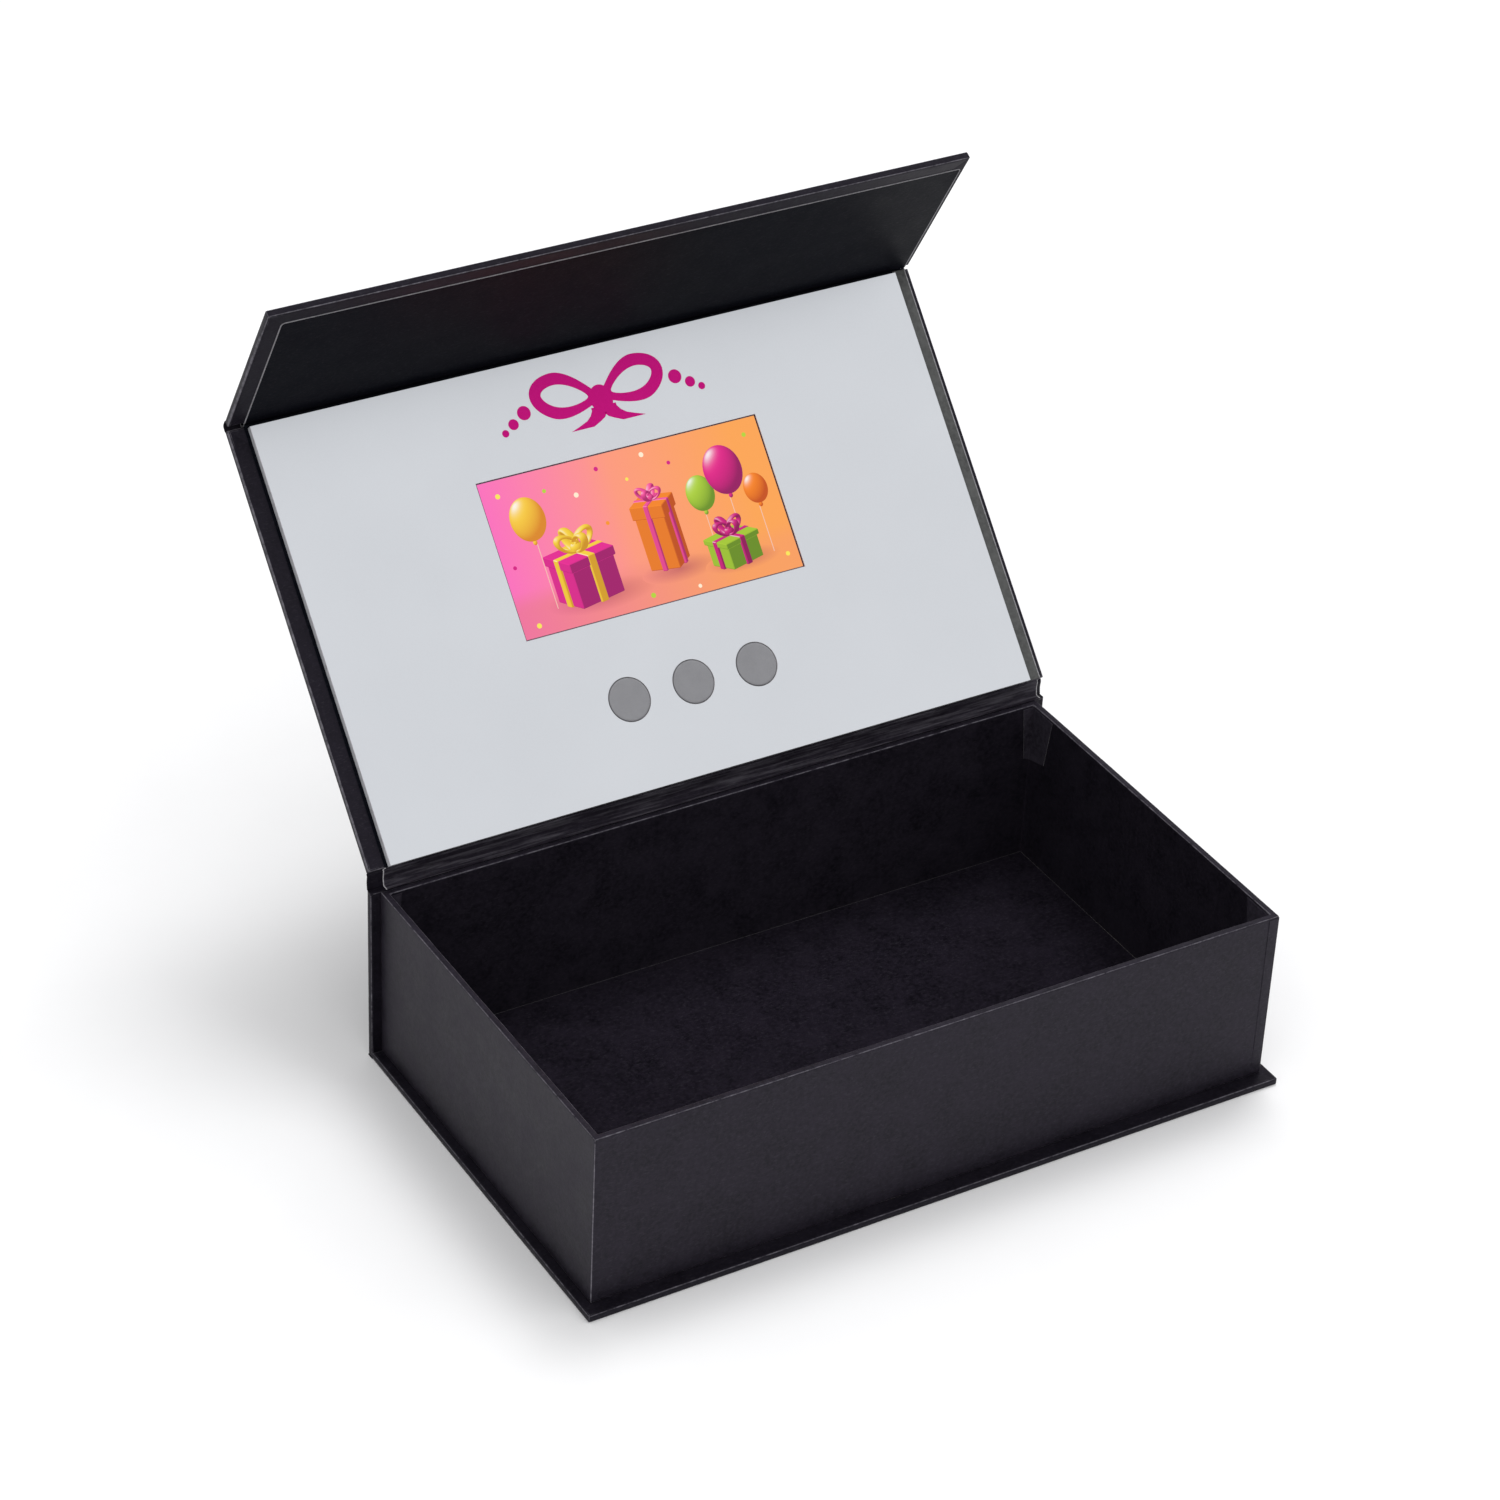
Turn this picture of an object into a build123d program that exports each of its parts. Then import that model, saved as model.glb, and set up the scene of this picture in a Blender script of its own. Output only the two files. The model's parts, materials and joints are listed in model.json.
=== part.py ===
from build123d import *
from math import cos, radians, sin
import os

# Rigid gift box with a hinged lid, a folding front flap and a video player in the lid.
# Millimetres. The origin is the middle of the base's underside, +X runs along the hinge,
# +Y points to the hinge and +Z is up. The lid stands open as it does on a shop table.

# Board and paper
board = 2.2  # greyboard of the case: base, spine, lid and flap
tray_board = 2.0  # greyboard of the tray
paper = 0.2  # black wrapping paper
turn_in = 15.0  # width of the paper turned in over a board's edge

# Tray
tray_length = 258.0
tray_depth = 147.0
tray_height = 65.2
floor_liner_sheet = 0.4
floor_liner_gap = 0.4  # between the loose-cut floor sheet and the walls

# Case
side_lip = 3.5  # the case stands out past the tray at each end
front_lip = 5.4  # the base stands out past the tray's front
spine_gap = 0.2  # glue line between the tray and the spine
spine_lift = 0.4  # the spine's lower edge above the table
lid_reach = 156.6  # from the lid's hinge line to the flap's crease
flap_reach = 69.6  # from the flap's crease to its free edge
lid_back_gap = 0.7  # from the hinge line to the lid panel's back edge
lid_front_gap = 2.4  # from the flap's crease back to the lid panel's front edge
flap_root_gap = 3.1  # from the flap's crease to the flap panel's near edge
closed_gap = 0.3  # between the closed lid's facing card and the tray's rim

# Rest pose, in degrees
lid_open = 132.4  # opened from flat on the tray
flap_fold = 73.0  # folded in from flat with the lid

# Lining paper of the lid and the flap, and the closure magnets
lining_sheet = 0.2
lining_inset = 5.8
magnet_diameter = 12.0
magnet_thickness = 1.5
keeper_thickness = 1.0
magnet_spacing = 150.0
magnet_height = 24.0  # above the table when the box is shut
magnet_fit = 0.1  # all round a magnet or keeper in its pocket

# Magnet that tells the player that the box is shut
trigger_length = 10.0
trigger_width = 1.2
trigger_height = 5.0

# Video module on the lid's inner face
module_side_gap = 7.0  # from the case's end to the module's
spacer_sheet = 2.2
card_sheet = 0.4
module_front_gap = 0.9  # between the module's front edge and the lid panel's front edge
recess_depth = 1.0  # the lid board is cut away under the player
part_gap = 0.8  # round each part in its cut-out

# Screen
window_length = 109.0
window_height = 56.0
window_middle = 88.4  # from the hinge line
lcd_length = 120.7
lcd_height = 75.8
lcd_thickness = 2.9
bezel_sheet = 0.2
bezel_lip = 4.5
glass_thickness = 1.0
tape_width = 8.0

# Buttons
button_diameter = 15.0
button_spacing = 24.9
button_place = 32.2  # from the hinge line
button_play = 0.3  # between a key and its hole
button_proud = 0.1  # a key stands this far above the card
key_flange = 0.8  # a flange under the card keeps the key in
key_flange_sheet = 0.5
key_seat_gap = 0.1
plunger_diameter = 2.4
plunger_play = 0.2
button_travel = 0.4
switch_side = 5.2
switch_height = 1.2

# Circuit boards and their parts
circuit_sheet = 0.8
pad_sheet = 0.2  # double-sided tape under each part
button_board_length = 72.0
button_board_width = 14.0
main_board_length = 40.0
main_board_width = 60.0
main_board_inset = 2.1  # from the module's right end
sensor_side = 3.0
sensor_inset = 6.4  # from the main board's back edge; the trigger magnet lies under the sensor
chip_height = 1.1
socket_length = 5.4
socket_width = 7.5
socket_height = 2.2
socket_sheet = 0.3
socket_place = 92.0
battery_length = 40.0
battery_width = 60.0
battery_thickness = 3.0
battery_inset = 3.0  # from the module's left end
speaker_length = 30.0
speaker_width = 20.0
speaker_thickness = 2.8
speaker_inset = 18.5  # from the module's right end
speaker_place = 30.0
cone_inset = 3.0
cone_rise = 0.4
lead_diameter = 1.2
lead_pitch = 1.6
lead_channel = 6.4
ribbon_sheet = 0.3
ribbon_width = 20.0
ribbon_socket = 4.0
button_lead_width = 4.0
button_lead_sheet = 0.6

# Sizes that follow from those above
case_panel = board + 2 * paper
tray_wall = tray_board + 2 * paper
case_length = tray_length + 2 * side_lip
base_depth = front_lip + tray_depth + spine_gap + case_panel
rim_level = case_panel + tray_height
module_sheet = spacer_sheet + card_sheet
module_length = case_length - 2 * module_side_gap
hinge_y = base_depth / 2
hinge_z = rim_level + closed_gap + case_panel + lining_sheet + module_sheet
tray_front = -base_depth / 2 + front_lip
tray_back = tray_front + tray_depth
tray_middle = (tray_front + tray_back) / 2
floor_top = case_panel + paper + tray_board

# The lid's plane lies in its outer face: x along the hinge, y from the hinge to the flap,
# z inwards. The flap's plane is the same for the flap, from its crease to its free edge.
lean = radians(lid_open - 90)
along = Vector(0, sin(lean), cos(lean))
inward = Vector(0, -cos(lean), sin(lean))
hinge_line = Vector(0, hinge_y, hinge_z)
lid_plane = Plane(origin=hinge_line, x_dir=(1, 0, 0), z_dir=inward)
fold = radians(flap_fold)
crease_line = hinge_line + along * lid_reach
flap_inward = inward * cos(fold) - along * sin(fold)
flap_plane = Plane(origin=crease_line, x_dir=(1, 0, 0), z_dir=flap_inward)

lid_panel_front = lid_reach - lid_front_gap
lid_panel_length = lid_panel_front - lid_back_gap
lid_panel_middle = (lid_panel_front + lid_back_gap) / 2
flap_panel_length = flap_reach - flap_root_gap
flap_panel_middle = (flap_reach + flap_root_gap) / 2
module_front = lid_panel_front - module_front_gap
module_height = module_front - lid_back_gap
module_middle = (module_front + lid_back_gap) / 2
magnet_place = hinge_z - magnet_height  # from the flap's crease
magnet_places = [-magnet_spacing / 2, magnet_spacing / 2]

main_board_back = window_middle - main_board_width / 2
sensor_place = main_board_back + sensor_inset + sensor_side / 2
trigger_y = hinge_y - sensor_place

# Levels above the lid's outer face
recess_floor = paper + board - recess_depth
spacer_level = case_panel + lining_sheet
card_level = spacer_level + spacer_sheet
face_level = card_level + card_sheet
part_level = recess_floor + pad_sheet


def panel(plane, length, depth, middle):
    """Outline of a board or sheet on a plane, its middle at a distance along local y."""
    with BuildSketch(plane) as outline:
        with Locations((0, middle)):
            Rectangle(length, depth)
    return outline.sketch


def wrapped_panel(plane, length, depth, middle):
    """A wrapped board's face, its greyboard core and the bare middle between its turned-in edges."""
    face = panel(plane, length, depth, middle)
    core = panel(plane.offset(paper), length - 2 * paper, depth - 2 * paper, middle)
    bare = panel(plane.offset(paper + board), length - 2 * turn_in, depth - 2 * turn_in, middle)
    return face, core, bare


def finish(part, label):
    """Name a finished piece and write its file."""
    part.part.label = label
    export_step(part.part, "parts/" + label + ".step")


os.makedirs("parts", exist_ok=True)

# Base: a greyboard panel in a paper wrap that is turned in over its edges
base_panel_depth = tray_back + base_depth / 2
base_panel_middle = (tray_back - base_depth / 2) / 2
base_face, base_core, base_bare = wrapped_panel(
    Plane.XY, case_length, base_panel_depth, base_panel_middle
)
with BuildPart() as base_board:
    extrude(base_core, amount=board)
finish(base_board, "base_board")

with BuildPart() as base_wrap:
    extrude(base_face, amount=case_panel)
    extrude(base_core, amount=board, mode=Mode.SUBTRACT)
    extrude(base_bare, amount=paper, mode=Mode.SUBTRACT)
finish(base_wrap, "base_wrap")

# Spine: stands behind the tray, as long as the base
spine_plane = Plane(origin=(0, hinge_y, spine_lift), x_dir=(1, 0, 0), z_dir=(0, -1, 0))
spine_height = rim_level - spine_lift
spine_face, spine_core, spine_bare = wrapped_panel(
    spine_plane, case_length, spine_height, spine_height / 2
)
with BuildPart() as spine_board:
    extrude(spine_core, amount=board)
finish(spine_board, "spine_board")

with BuildPart() as spine_wrap:
    extrude(spine_face, amount=case_panel)
    extrude(spine_core, amount=board, mode=Mode.SUBTRACT)
    extrude(spine_bare, amount=paper, mode=Mode.SUBTRACT)
finish(spine_wrap, "spine_wrap")

# Paper crease that joins the base's wrap to the spine's
with BuildPart() as base_crease:
    with BuildSketch(Plane.YZ):
        with BuildLine():
            Polyline(
                (tray_back, 0),
                (hinge_y, 0),
                (hinge_y, spine_lift),
                (hinge_y - paper, spine_lift),
                (hinge_y - paper, paper),
                (tray_back, paper),
                close=True,
            )
        make_face()
    extrude(amount=case_length / 2, both=True)
finish(base_crease, "base_crease")

# Tray: four walls and a floor of greyboard
wall_height = tray_height - 2 * paper
wall_plane = Plane.XY.offset(case_panel + paper)
board_length = tray_length - 2 * paper
board_depth = tray_depth - 2 * paper
with BuildPart() as tray_front_wall:
    with BuildSketch(wall_plane):
        with Locations((0, tray_front + paper + tray_board / 2)):
            Rectangle(board_length, tray_board)
    extrude(amount=wall_height)
    with BuildSketch(Plane(origin=(0, tray_front + paper, 0), x_dir=(1, 0, 0), z_dir=(0, -1, 0))):
        with Locations(*[(place, magnet_height) for place in magnet_places]):
            Circle(magnet_diameter / 2 + magnet_fit)
    extrude(amount=-keeper_thickness - magnet_fit, mode=Mode.SUBTRACT)
finish(tray_front_wall, "tray_front_wall")

with BuildPart() as tray_back_wall:
    with BuildSketch(wall_plane):
        with Locations((0, tray_back - paper - tray_board / 2)):
            Rectangle(board_length, tray_board)
    extrude(amount=wall_height)
finish(tray_back_wall, "tray_back_wall")

side_wall_x = tray_length / 2 - paper - tray_board / 2
side_wall_depth = board_depth - 2 * tray_board
with BuildPart() as tray_left_wall:
    with BuildSketch(wall_plane):
        with Locations((-side_wall_x, tray_middle)):
            Rectangle(tray_board, side_wall_depth)
    extrude(amount=wall_height)
finish(tray_left_wall, "tray_left_wall")

wall_top = case_panel + paper + wall_height
with BuildPart() as tray_right_wall:
    with BuildSketch(wall_plane):
        with Locations((side_wall_x, tray_middle)):
            Rectangle(tray_board, side_wall_depth)
    extrude(amount=wall_height)
    with BuildSketch(Plane.XY.offset(wall_top)):
        with Locations((side_wall_x, trigger_y)):
            Rectangle(trigger_width + 2 * magnet_fit, trigger_length + 2 * magnet_fit)
    extrude(amount=-trigger_height - magnet_fit, mode=Mode.SUBTRACT)
finish(tray_right_wall, "tray_right_wall")

floor_length = board_length - 2 * tray_board
floor_outline = panel(wall_plane, floor_length, side_wall_depth, tray_middle)
with BuildPart() as tray_floor:
    extrude(floor_outline, amount=tray_board)
finish(tray_floor, "tray_floor")

# Tray wrap: down the outside, under the walls, over the rim and down the inside to the floor
inside_length = tray_length - 2 * tray_wall
inside_depth = tray_depth - 2 * tray_wall
tray_plane = Plane.XY.offset(case_panel)
inside_plane = Plane.XY.offset(floor_top)
tray_bare = panel(tray_plane, tray_length - 2 * turn_in, tray_depth - 2 * turn_in, tray_middle)
with BuildPart() as tray_wrap:
    extrude(panel(tray_plane, tray_length, tray_depth, tray_middle), amount=tray_height)
    with BuildSketch(wall_plane):
        with Locations((0, tray_middle)):
            Rectangle(board_length, board_depth)
            Rectangle(floor_length, side_wall_depth, mode=Mode.SUBTRACT)
    extrude(amount=wall_height, mode=Mode.SUBTRACT)
    extrude(
        panel(inside_plane, inside_length, inside_depth, tray_middle),
        amount=tray_height,
        mode=Mode.SUBTRACT,
    )
    extrude(floor_outline, amount=tray_board, mode=Mode.SUBTRACT)
    extrude(tray_bare, amount=paper, mode=Mode.SUBTRACT)
finish(tray_wrap, "tray_wrap")

liner_length = inside_length - 2 * floor_liner_gap
liner_depth = inside_depth - 2 * floor_liner_gap
with BuildPart() as floor_liner:
    extrude(panel(inside_plane, liner_length, liner_depth, tray_middle), amount=floor_liner_sheet)
finish(floor_liner, "floor_liner")

# Steel keepers behind the front wall's wrap, and the magnet that works the lid's switch
with BuildPart() as keeper_discs:
    with BuildSketch(Plane(origin=(0, tray_front + paper, 0), x_dir=(1, 0, 0), z_dir=(0, -1, 0))):
        with Locations(*[(place, magnet_height) for place in magnet_places]):
            Circle(magnet_diameter / 2)
    extrude(amount=-keeper_thickness)
finish(keeper_discs, "keeper_discs")

with BuildPart() as trigger_magnet:
    with BuildSketch(Plane.XY.offset(wall_top)):
        with Locations((side_wall_x, trigger_y)):
            Rectangle(trigger_width, trigger_length)
    extrude(amount=-trigger_height)
finish(trigger_magnet, "trigger_magnet")

# Lid: panel and wrap, with a recess under the player
main_board_right = module_length / 2 - main_board_inset
battery_middle = -module_length / 2 + battery_inset + battery_length / 2
speaker_middle = module_length / 2 - speaker_inset - speaker_length / 2
recess_left = battery_middle - battery_length / 2 - part_gap
recess_right = main_board_right + part_gap
recess_back = speaker_place - speaker_width / 2 - part_gap
recess_front = window_middle + lcd_height / 2 + part_gap + lead_channel
recess_length = recess_right - recess_left
recess_width = recess_front - recess_back
recess_middle = ((recess_left + recess_right) / 2, (recess_back + recess_front) / 2)
lid_face, lid_core, lid_bare = wrapped_panel(lid_plane, case_length, lid_panel_length, lid_panel_middle)
with BuildPart() as lid_board:
    extrude(lid_core, amount=board)
    with BuildSketch(lid_plane.offset(recess_floor)):
        with Locations(recess_middle):
            Rectangle(recess_length, recess_width)
    extrude(amount=recess_depth, mode=Mode.SUBTRACT)
finish(lid_board, "lid_board")

with BuildPart() as lid_wrap:
    extrude(lid_face, amount=case_panel)
    extrude(lid_core, amount=board, mode=Mode.SUBTRACT)
    extrude(lid_bare, amount=paper, mode=Mode.SUBTRACT)
    with BuildSketch(lid_plane.offset(paper + board)):
        with Locations(recess_middle):
            Rectangle(recess_length, recess_width)
    extrude(amount=paper, mode=Mode.SUBTRACT)
finish(lid_wrap, "lid_wrap")

# Lining of the lid: a sheet between the wrap's turned-in edges and the module
lining_length = case_length - 2 * lining_inset
with BuildPart() as lid_liner:
    extrude(
        panel(lid_plane.offset(case_panel), lining_length, lid_panel_length, lid_panel_middle),
        amount=lining_sheet,
    )
    with BuildSketch(lid_plane.offset(case_panel)):
        with Locations(recess_middle):
            Rectangle(recess_length, recess_width)
    extrude(amount=lining_sheet, mode=Mode.SUBTRACT)
finish(lid_liner, "lid_liner")

# Places of the player's parts on the lid
lcd_right = lcd_length / 2
lcd_front = window_middle + lcd_height / 2
main_board_middle = main_board_right - main_board_length / 2
main_board_left = main_board_right - main_board_length
main_board_front = window_middle + main_board_width / 2
battery_front = window_middle + battery_width / 2
speaker_front = speaker_place + speaker_width / 2
button_places = [-button_spacing, 0, button_spacing]
flange_radius = button_diameter / 2 + key_flange
board_top = part_level + circuit_sheet
lead_level = part_level + lead_diameter / 2
lead_front = lcd_front + part_gap + lead_channel / 2
lead_left = battery_middle + battery_length / 4
lead_right = main_board_middle
speaker_lead_x = speaker_middle
button_lead_turn = (button_board_length + speaker_middle * 2 - speaker_length) / 4
button_lead_rise = (speaker_front + window_middle - lcd_height / 2) / 2
button_lead_x = main_board_left + button_lead_width
button_pocket = (button_spacing + flange_radius + part_gap) * 2


def cut_parts():
    """Cut-outs of the spacer: one for each part of the player and channels for its leads."""
    with Locations((0, window_middle)):
        Rectangle(lcd_length + 2 * part_gap, lcd_height + 2 * part_gap, mode=Mode.SUBTRACT)
    with Locations((battery_middle, window_middle)):
        Rectangle(battery_length + 2 * part_gap, battery_width + 2 * part_gap, mode=Mode.SUBTRACT)
    with Locations((main_board_middle, window_middle)):
        Rectangle(main_board_length + 2 * part_gap, main_board_width + 2 * part_gap, mode=Mode.SUBTRACT)
    with Locations((speaker_middle, speaker_place)):
        Rectangle(speaker_length + 2 * part_gap, speaker_width + 2 * part_gap, mode=Mode.SUBTRACT)
    with Locations((0, button_place)):
        Rectangle(button_pocket, 2 * (flange_radius + part_gap), mode=Mode.SUBTRACT)
    with Locations(((lead_left + lead_right) / 2, lead_front)):
        Rectangle(lead_right - lead_left + lead_channel, lead_channel, mode=Mode.SUBTRACT)
    for place, start in [(lead_left, battery_front), (lead_right, main_board_front)]:
        with Locations((place, (start + lead_front) / 2)):
            Rectangle(lead_channel, lead_front - start, mode=Mode.SUBTRACT)
    with Locations((speaker_lead_x, (speaker_front + main_board_back) / 2)):
        Rectangle(lead_channel, main_board_back - speaker_front, mode=Mode.SUBTRACT)
    with Locations(((lcd_right + main_board_left) / 2, window_middle)):
        Rectangle(main_board_left - lcd_right, ribbon_width + 2 * part_gap, mode=Mode.SUBTRACT)
    with Locations(((main_board_right + module_length / 2) / 2, socket_place)):
        Rectangle(module_length / 2 - main_board_right, socket_width + 2 * part_gap, mode=Mode.SUBTRACT)


# Module: spacer board with the cut-outs, and the silver-grey facing card
with BuildPart() as module_spacer:
    with BuildSketch(lid_plane.offset(spacer_level)):
        with Locations((0, module_middle)):
            Rectangle(module_length, module_height)
        cut_parts()
    extrude(amount=spacer_sheet)
finish(module_spacer, "module_spacer")

with BuildPart() as facing_card:
    with BuildSketch(lid_plane.offset(card_level)):
        with Locations((0, module_middle)):
            Rectangle(module_length, module_height)
        with Locations((0, window_middle)):
            Rectangle(window_length, window_height, mode=Mode.SUBTRACT)
        with Locations(*[(place, button_place) for place in button_places]):
            Circle(button_diameter / 2 + button_play, mode=Mode.SUBTRACT)
    extrude(amount=card_sheet)
finish(facing_card, "facing_card")

# Screen: bezel, glass and backlight, taped to the bottom of the recess
lcd_back = card_level - lcd_thickness
glass_front = card_level - bezel_sheet
glass_back = glass_front - glass_thickness
glass_length = lcd_length - 2 * bezel_sheet
glass_height = lcd_height - 2 * bezel_sheet
screen_length = lcd_length - 2 * bezel_lip
screen_height = lcd_height - 2 * bezel_lip
lcd_plane = lid_plane.offset(lcd_back)
with BuildPart() as lcd_bezel:
    extrude(panel(lcd_plane, lcd_length, lcd_height, window_middle), amount=lcd_thickness)
    extrude(
        panel(lcd_plane, glass_length, glass_height, window_middle),
        amount=lcd_thickness - bezel_sheet,
        mode=Mode.SUBTRACT,
    )
    extrude(
        panel(lcd_plane, screen_length, screen_height, window_middle),
        amount=lcd_thickness,
        mode=Mode.SUBTRACT,
    )
    with BuildSketch(lcd_plane):
        with Locations((lcd_right - bezel_sheet / 2, window_middle)):
            Rectangle(bezel_sheet, ribbon_width + 2 * part_gap)
    extrude(amount=lcd_thickness - bezel_sheet - glass_thickness, mode=Mode.SUBTRACT)
finish(lcd_bezel, "lcd_bezel")

with BuildPart() as lcd_glass:
    extrude(
        panel(lid_plane.offset(glass_back), glass_length, glass_height, window_middle),
        amount=glass_thickness,
    )
finish(lcd_glass, "lcd_glass")

with BuildPart() as lcd_backlight:
    extrude(panel(lcd_plane, glass_length, glass_height, window_middle), amount=glass_back - lcd_back)
finish(lcd_backlight, "lcd_backlight")

with BuildPart() as lcd_tape:
    with BuildSketch(lid_plane.offset(recess_floor)):
        with Locations((0, window_middle)):
            with GridLocations(lcd_length - tape_width, 0, 2, 1):
                Rectangle(tape_width, lcd_height)
    extrude(amount=lcd_back - recess_floor)
finish(lcd_tape, "lcd_tape")

# Battery, speaker and circuit boards, each on its double-sided tape
with BuildPart() as battery:
    with BuildSketch(lid_plane.offset(part_level)):
        with Locations((battery_middle, window_middle)):
            Rectangle(battery_length, battery_width)
    extrude(amount=battery_thickness)
    fillet(battery.edges().filter_by(Axis(hinge_line, inward)), radius=battery_thickness / 2)
finish(battery, "battery")

with BuildPart() as speaker:
    with BuildSketch(lid_plane.offset(part_level)):
        with Locations((speaker_middle, speaker_place)):
            RectangleRounded(speaker_length, speaker_width, cone_inset)
    extrude(amount=speaker_thickness)
finish(speaker, "speaker")

with BuildPart() as speaker_cone:
    with BuildSketch(lid_plane.offset(part_level + speaker_thickness)):
        with Locations((speaker_middle, speaker_place)):
            SlotOverall(speaker_length - 2 * cone_inset, speaker_width - 2 * cone_inset)
    extrude(amount=cone_rise, taper=45)
finish(speaker_cone, "speaker_cone")

with BuildPart() as button_board:
    with BuildSketch(lid_plane.offset(part_level)):
        with Locations((0, button_place)):
            Rectangle(button_board_length, button_board_width)
    extrude(amount=circuit_sheet)
finish(button_board, "button_board")

with BuildPart() as main_board:
    with BuildSketch(lid_plane.offset(part_level)):
        with Locations((main_board_middle, window_middle)):
            Rectangle(main_board_length, main_board_width)
    extrude(amount=circuit_sheet)
finish(main_board, "main_board")

with BuildPart() as part_pads:
    with BuildSketch(lid_plane.offset(recess_floor)):
        with Locations((battery_middle, window_middle)):
            Rectangle(battery_length / 2, battery_width - 2 * tape_width)
        with Locations((main_board_middle, window_middle)):
            Rectangle(main_board_length / 2, main_board_width - 2 * tape_width)
        with Locations((0, button_place)):
            Rectangle(button_board_length - 2 * tape_width, tape_width)
        with Locations((speaker_middle, speaker_place)):
            Rectangle(speaker_length - 2 * cone_inset, tape_width)
    extrude(amount=pad_sheet)
finish(part_pads, "part_pads")

# Chips on the main board: processor, memory, charger, amplifier and the magnetic switch
processor_side = 12.0
memory_length = 8.0
memory_width = 12.0
charger_side = 4.0
chip_row = 14.0
with BuildPart() as main_board_chips:
    with BuildSketch(lid_plane.offset(board_top)):
        with Locations((main_board_middle, window_middle)):
            with Locations((0, -chip_row)):
                Rectangle(processor_side, processor_side)
            with Locations((0, chip_row)):
                Rectangle(memory_width, memory_length)
            with GridLocations(2 * charger_side, 0, 2, 1):
                Rectangle(charger_side, charger_side)
    extrude(amount=chip_height)
finish(main_board_chips, "main_board_chips")

with BuildPart() as lid_sensor:
    with BuildSketch(lid_plane.offset(board_top)):
        with Locations((main_board_right - sensor_side, sensor_place)):
            Rectangle(sensor_side, sensor_side)
    extrude(amount=chip_height)
finish(lid_sensor, "lid_sensor")

# Charging socket: a folded steel shell, open at the module's edge, with its tongue. It stands on
# a foot on the main board, level with the lid's lining.
socket_middle = module_length / 2 - socket_length / 2
socket_level = spacer_level
foot_length = main_board_right - module_length / 2 + socket_length
with BuildPart() as charging_socket:
    with BuildSketch(lid_plane.offset(board_top)):
        with Locations((main_board_right - foot_length / 2, socket_place)):
            Rectangle(foot_length, socket_width)
    extrude(amount=socket_level - board_top)
    with BuildSketch(lid_plane.offset(socket_level)):
        with Locations((socket_middle, socket_place)):
            Rectangle(socket_length, socket_width)
    extrude(amount=socket_height)
    with BuildSketch(lid_plane.offset(socket_level + socket_sheet)):
        with Locations((socket_middle + socket_sheet, socket_place)):
            Rectangle(socket_length, socket_width - 2 * socket_sheet)
    extrude(amount=socket_height - 2 * socket_sheet, mode=Mode.SUBTRACT)
    with BuildSketch(lid_plane.offset(socket_level + socket_height / 2)):
        with Locations((socket_middle - socket_sheet / 2, socket_place)):
            Rectangle(socket_length - socket_sheet, socket_width / 2)
    extrude(amount=socket_sheet)
finish(charging_socket, "charging_socket")

# Button switches: square bodies with a round bore for the key's plunger
switch_bore = plunger_diameter / 2 + plunger_play
with BuildPart() as button_switches:
    with BuildSketch(lid_plane.offset(board_top)):
        with Locations(*[(place, button_place) for place in button_places]):
            Rectangle(switch_side, switch_side)
            Circle(switch_bore, mode=Mode.SUBTRACT)
    extrude(amount=switch_height)
finish(button_switches, "button_switches")

# Keys: a round face in the card's hole, a flange under the card and a plunger in the switch
key_top = face_level + button_proud
flange_top = card_level - key_seat_gap
plunger_end = board_top + button_travel + plunger_play
key_names = ["volume_down_button", "play_button", "volume_up_button"]
for key_name, place in zip(key_names, button_places):
    with BuildPart() as key:
        with BuildSketch(lid_plane.offset(flange_top)):
            with Locations((place, button_place)):
                Circle(button_diameter / 2)
        extrude(amount=key_top - flange_top)
        with BuildSketch(lid_plane.offset(flange_top)):
            with Locations((place, button_place)):
                Circle(flange_radius)
        extrude(amount=-key_flange_sheet)
        with BuildSketch(lid_plane.offset(flange_top - key_flange_sheet)):
            with Locations((place, button_place)):
                Circle(plunger_diameter / 2)
        extrude(amount=plunger_end - flange_top + key_flange_sheet)
    finish(key, key_name)


def lead_path(points, radius):
    """A lead's route on the lid: straight runs joined by arcs."""
    corners = [lid_plane.from_local_coords(Vector(*point)) for point in points]
    return FilletPolyline(*corners, radius=radius)


# Battery leads: a pair of round wires round the screen to the main board
lead_bend = 5 * lead_diameter
with BuildPart() as battery_leads:
    for side in (-1, 1):
        shift = side * lead_pitch / 2
        points = [
            (lead_left + shift, battery_front, lead_level),
            (lead_left + shift, lead_front - shift, lead_level),
            (lead_right - shift, lead_front - shift, lead_level),
            (lead_right - shift, main_board_front, lead_level),
        ]
        with BuildLine():
            route = lead_path(points, lead_bend)
        with BuildSketch(Plane(origin=route @ 0, z_dir=route % 0)):
            Circle(lead_diameter / 2)
        sweep(path=route)
finish(battery_leads, "battery_leads")

with BuildPart() as speaker_leads:
    for side in (-1, 1):
        start = lid_plane.from_local_coords(
            Vector(speaker_lead_x + side * lead_pitch / 2, speaker_front, lead_level)
        )
        with BuildSketch(Plane(origin=start, x_dir=(1, 0, 0), z_dir=along)):
            Circle(lead_diameter / 2)
        extrude(amount=main_board_back - speaker_front)
finish(speaker_leads, "speaker_leads")

# Flat cables: the display's and the buttons'
ribbon_level = board_top + ribbon_sheet
with BuildPart() as display_ribbon:
    with BuildSketch(lid_plane.offset(ribbon_level)):
        ribbon_end = main_board_left + ribbon_socket / 2
        with Locations(((lcd_right + ribbon_end) / 2 - bezel_sheet / 2, window_middle)):
            Rectangle(ribbon_end - lcd_right + bezel_sheet, ribbon_width)
    extrude(amount=ribbon_sheet)
finish(display_ribbon, "display_ribbon")

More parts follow.
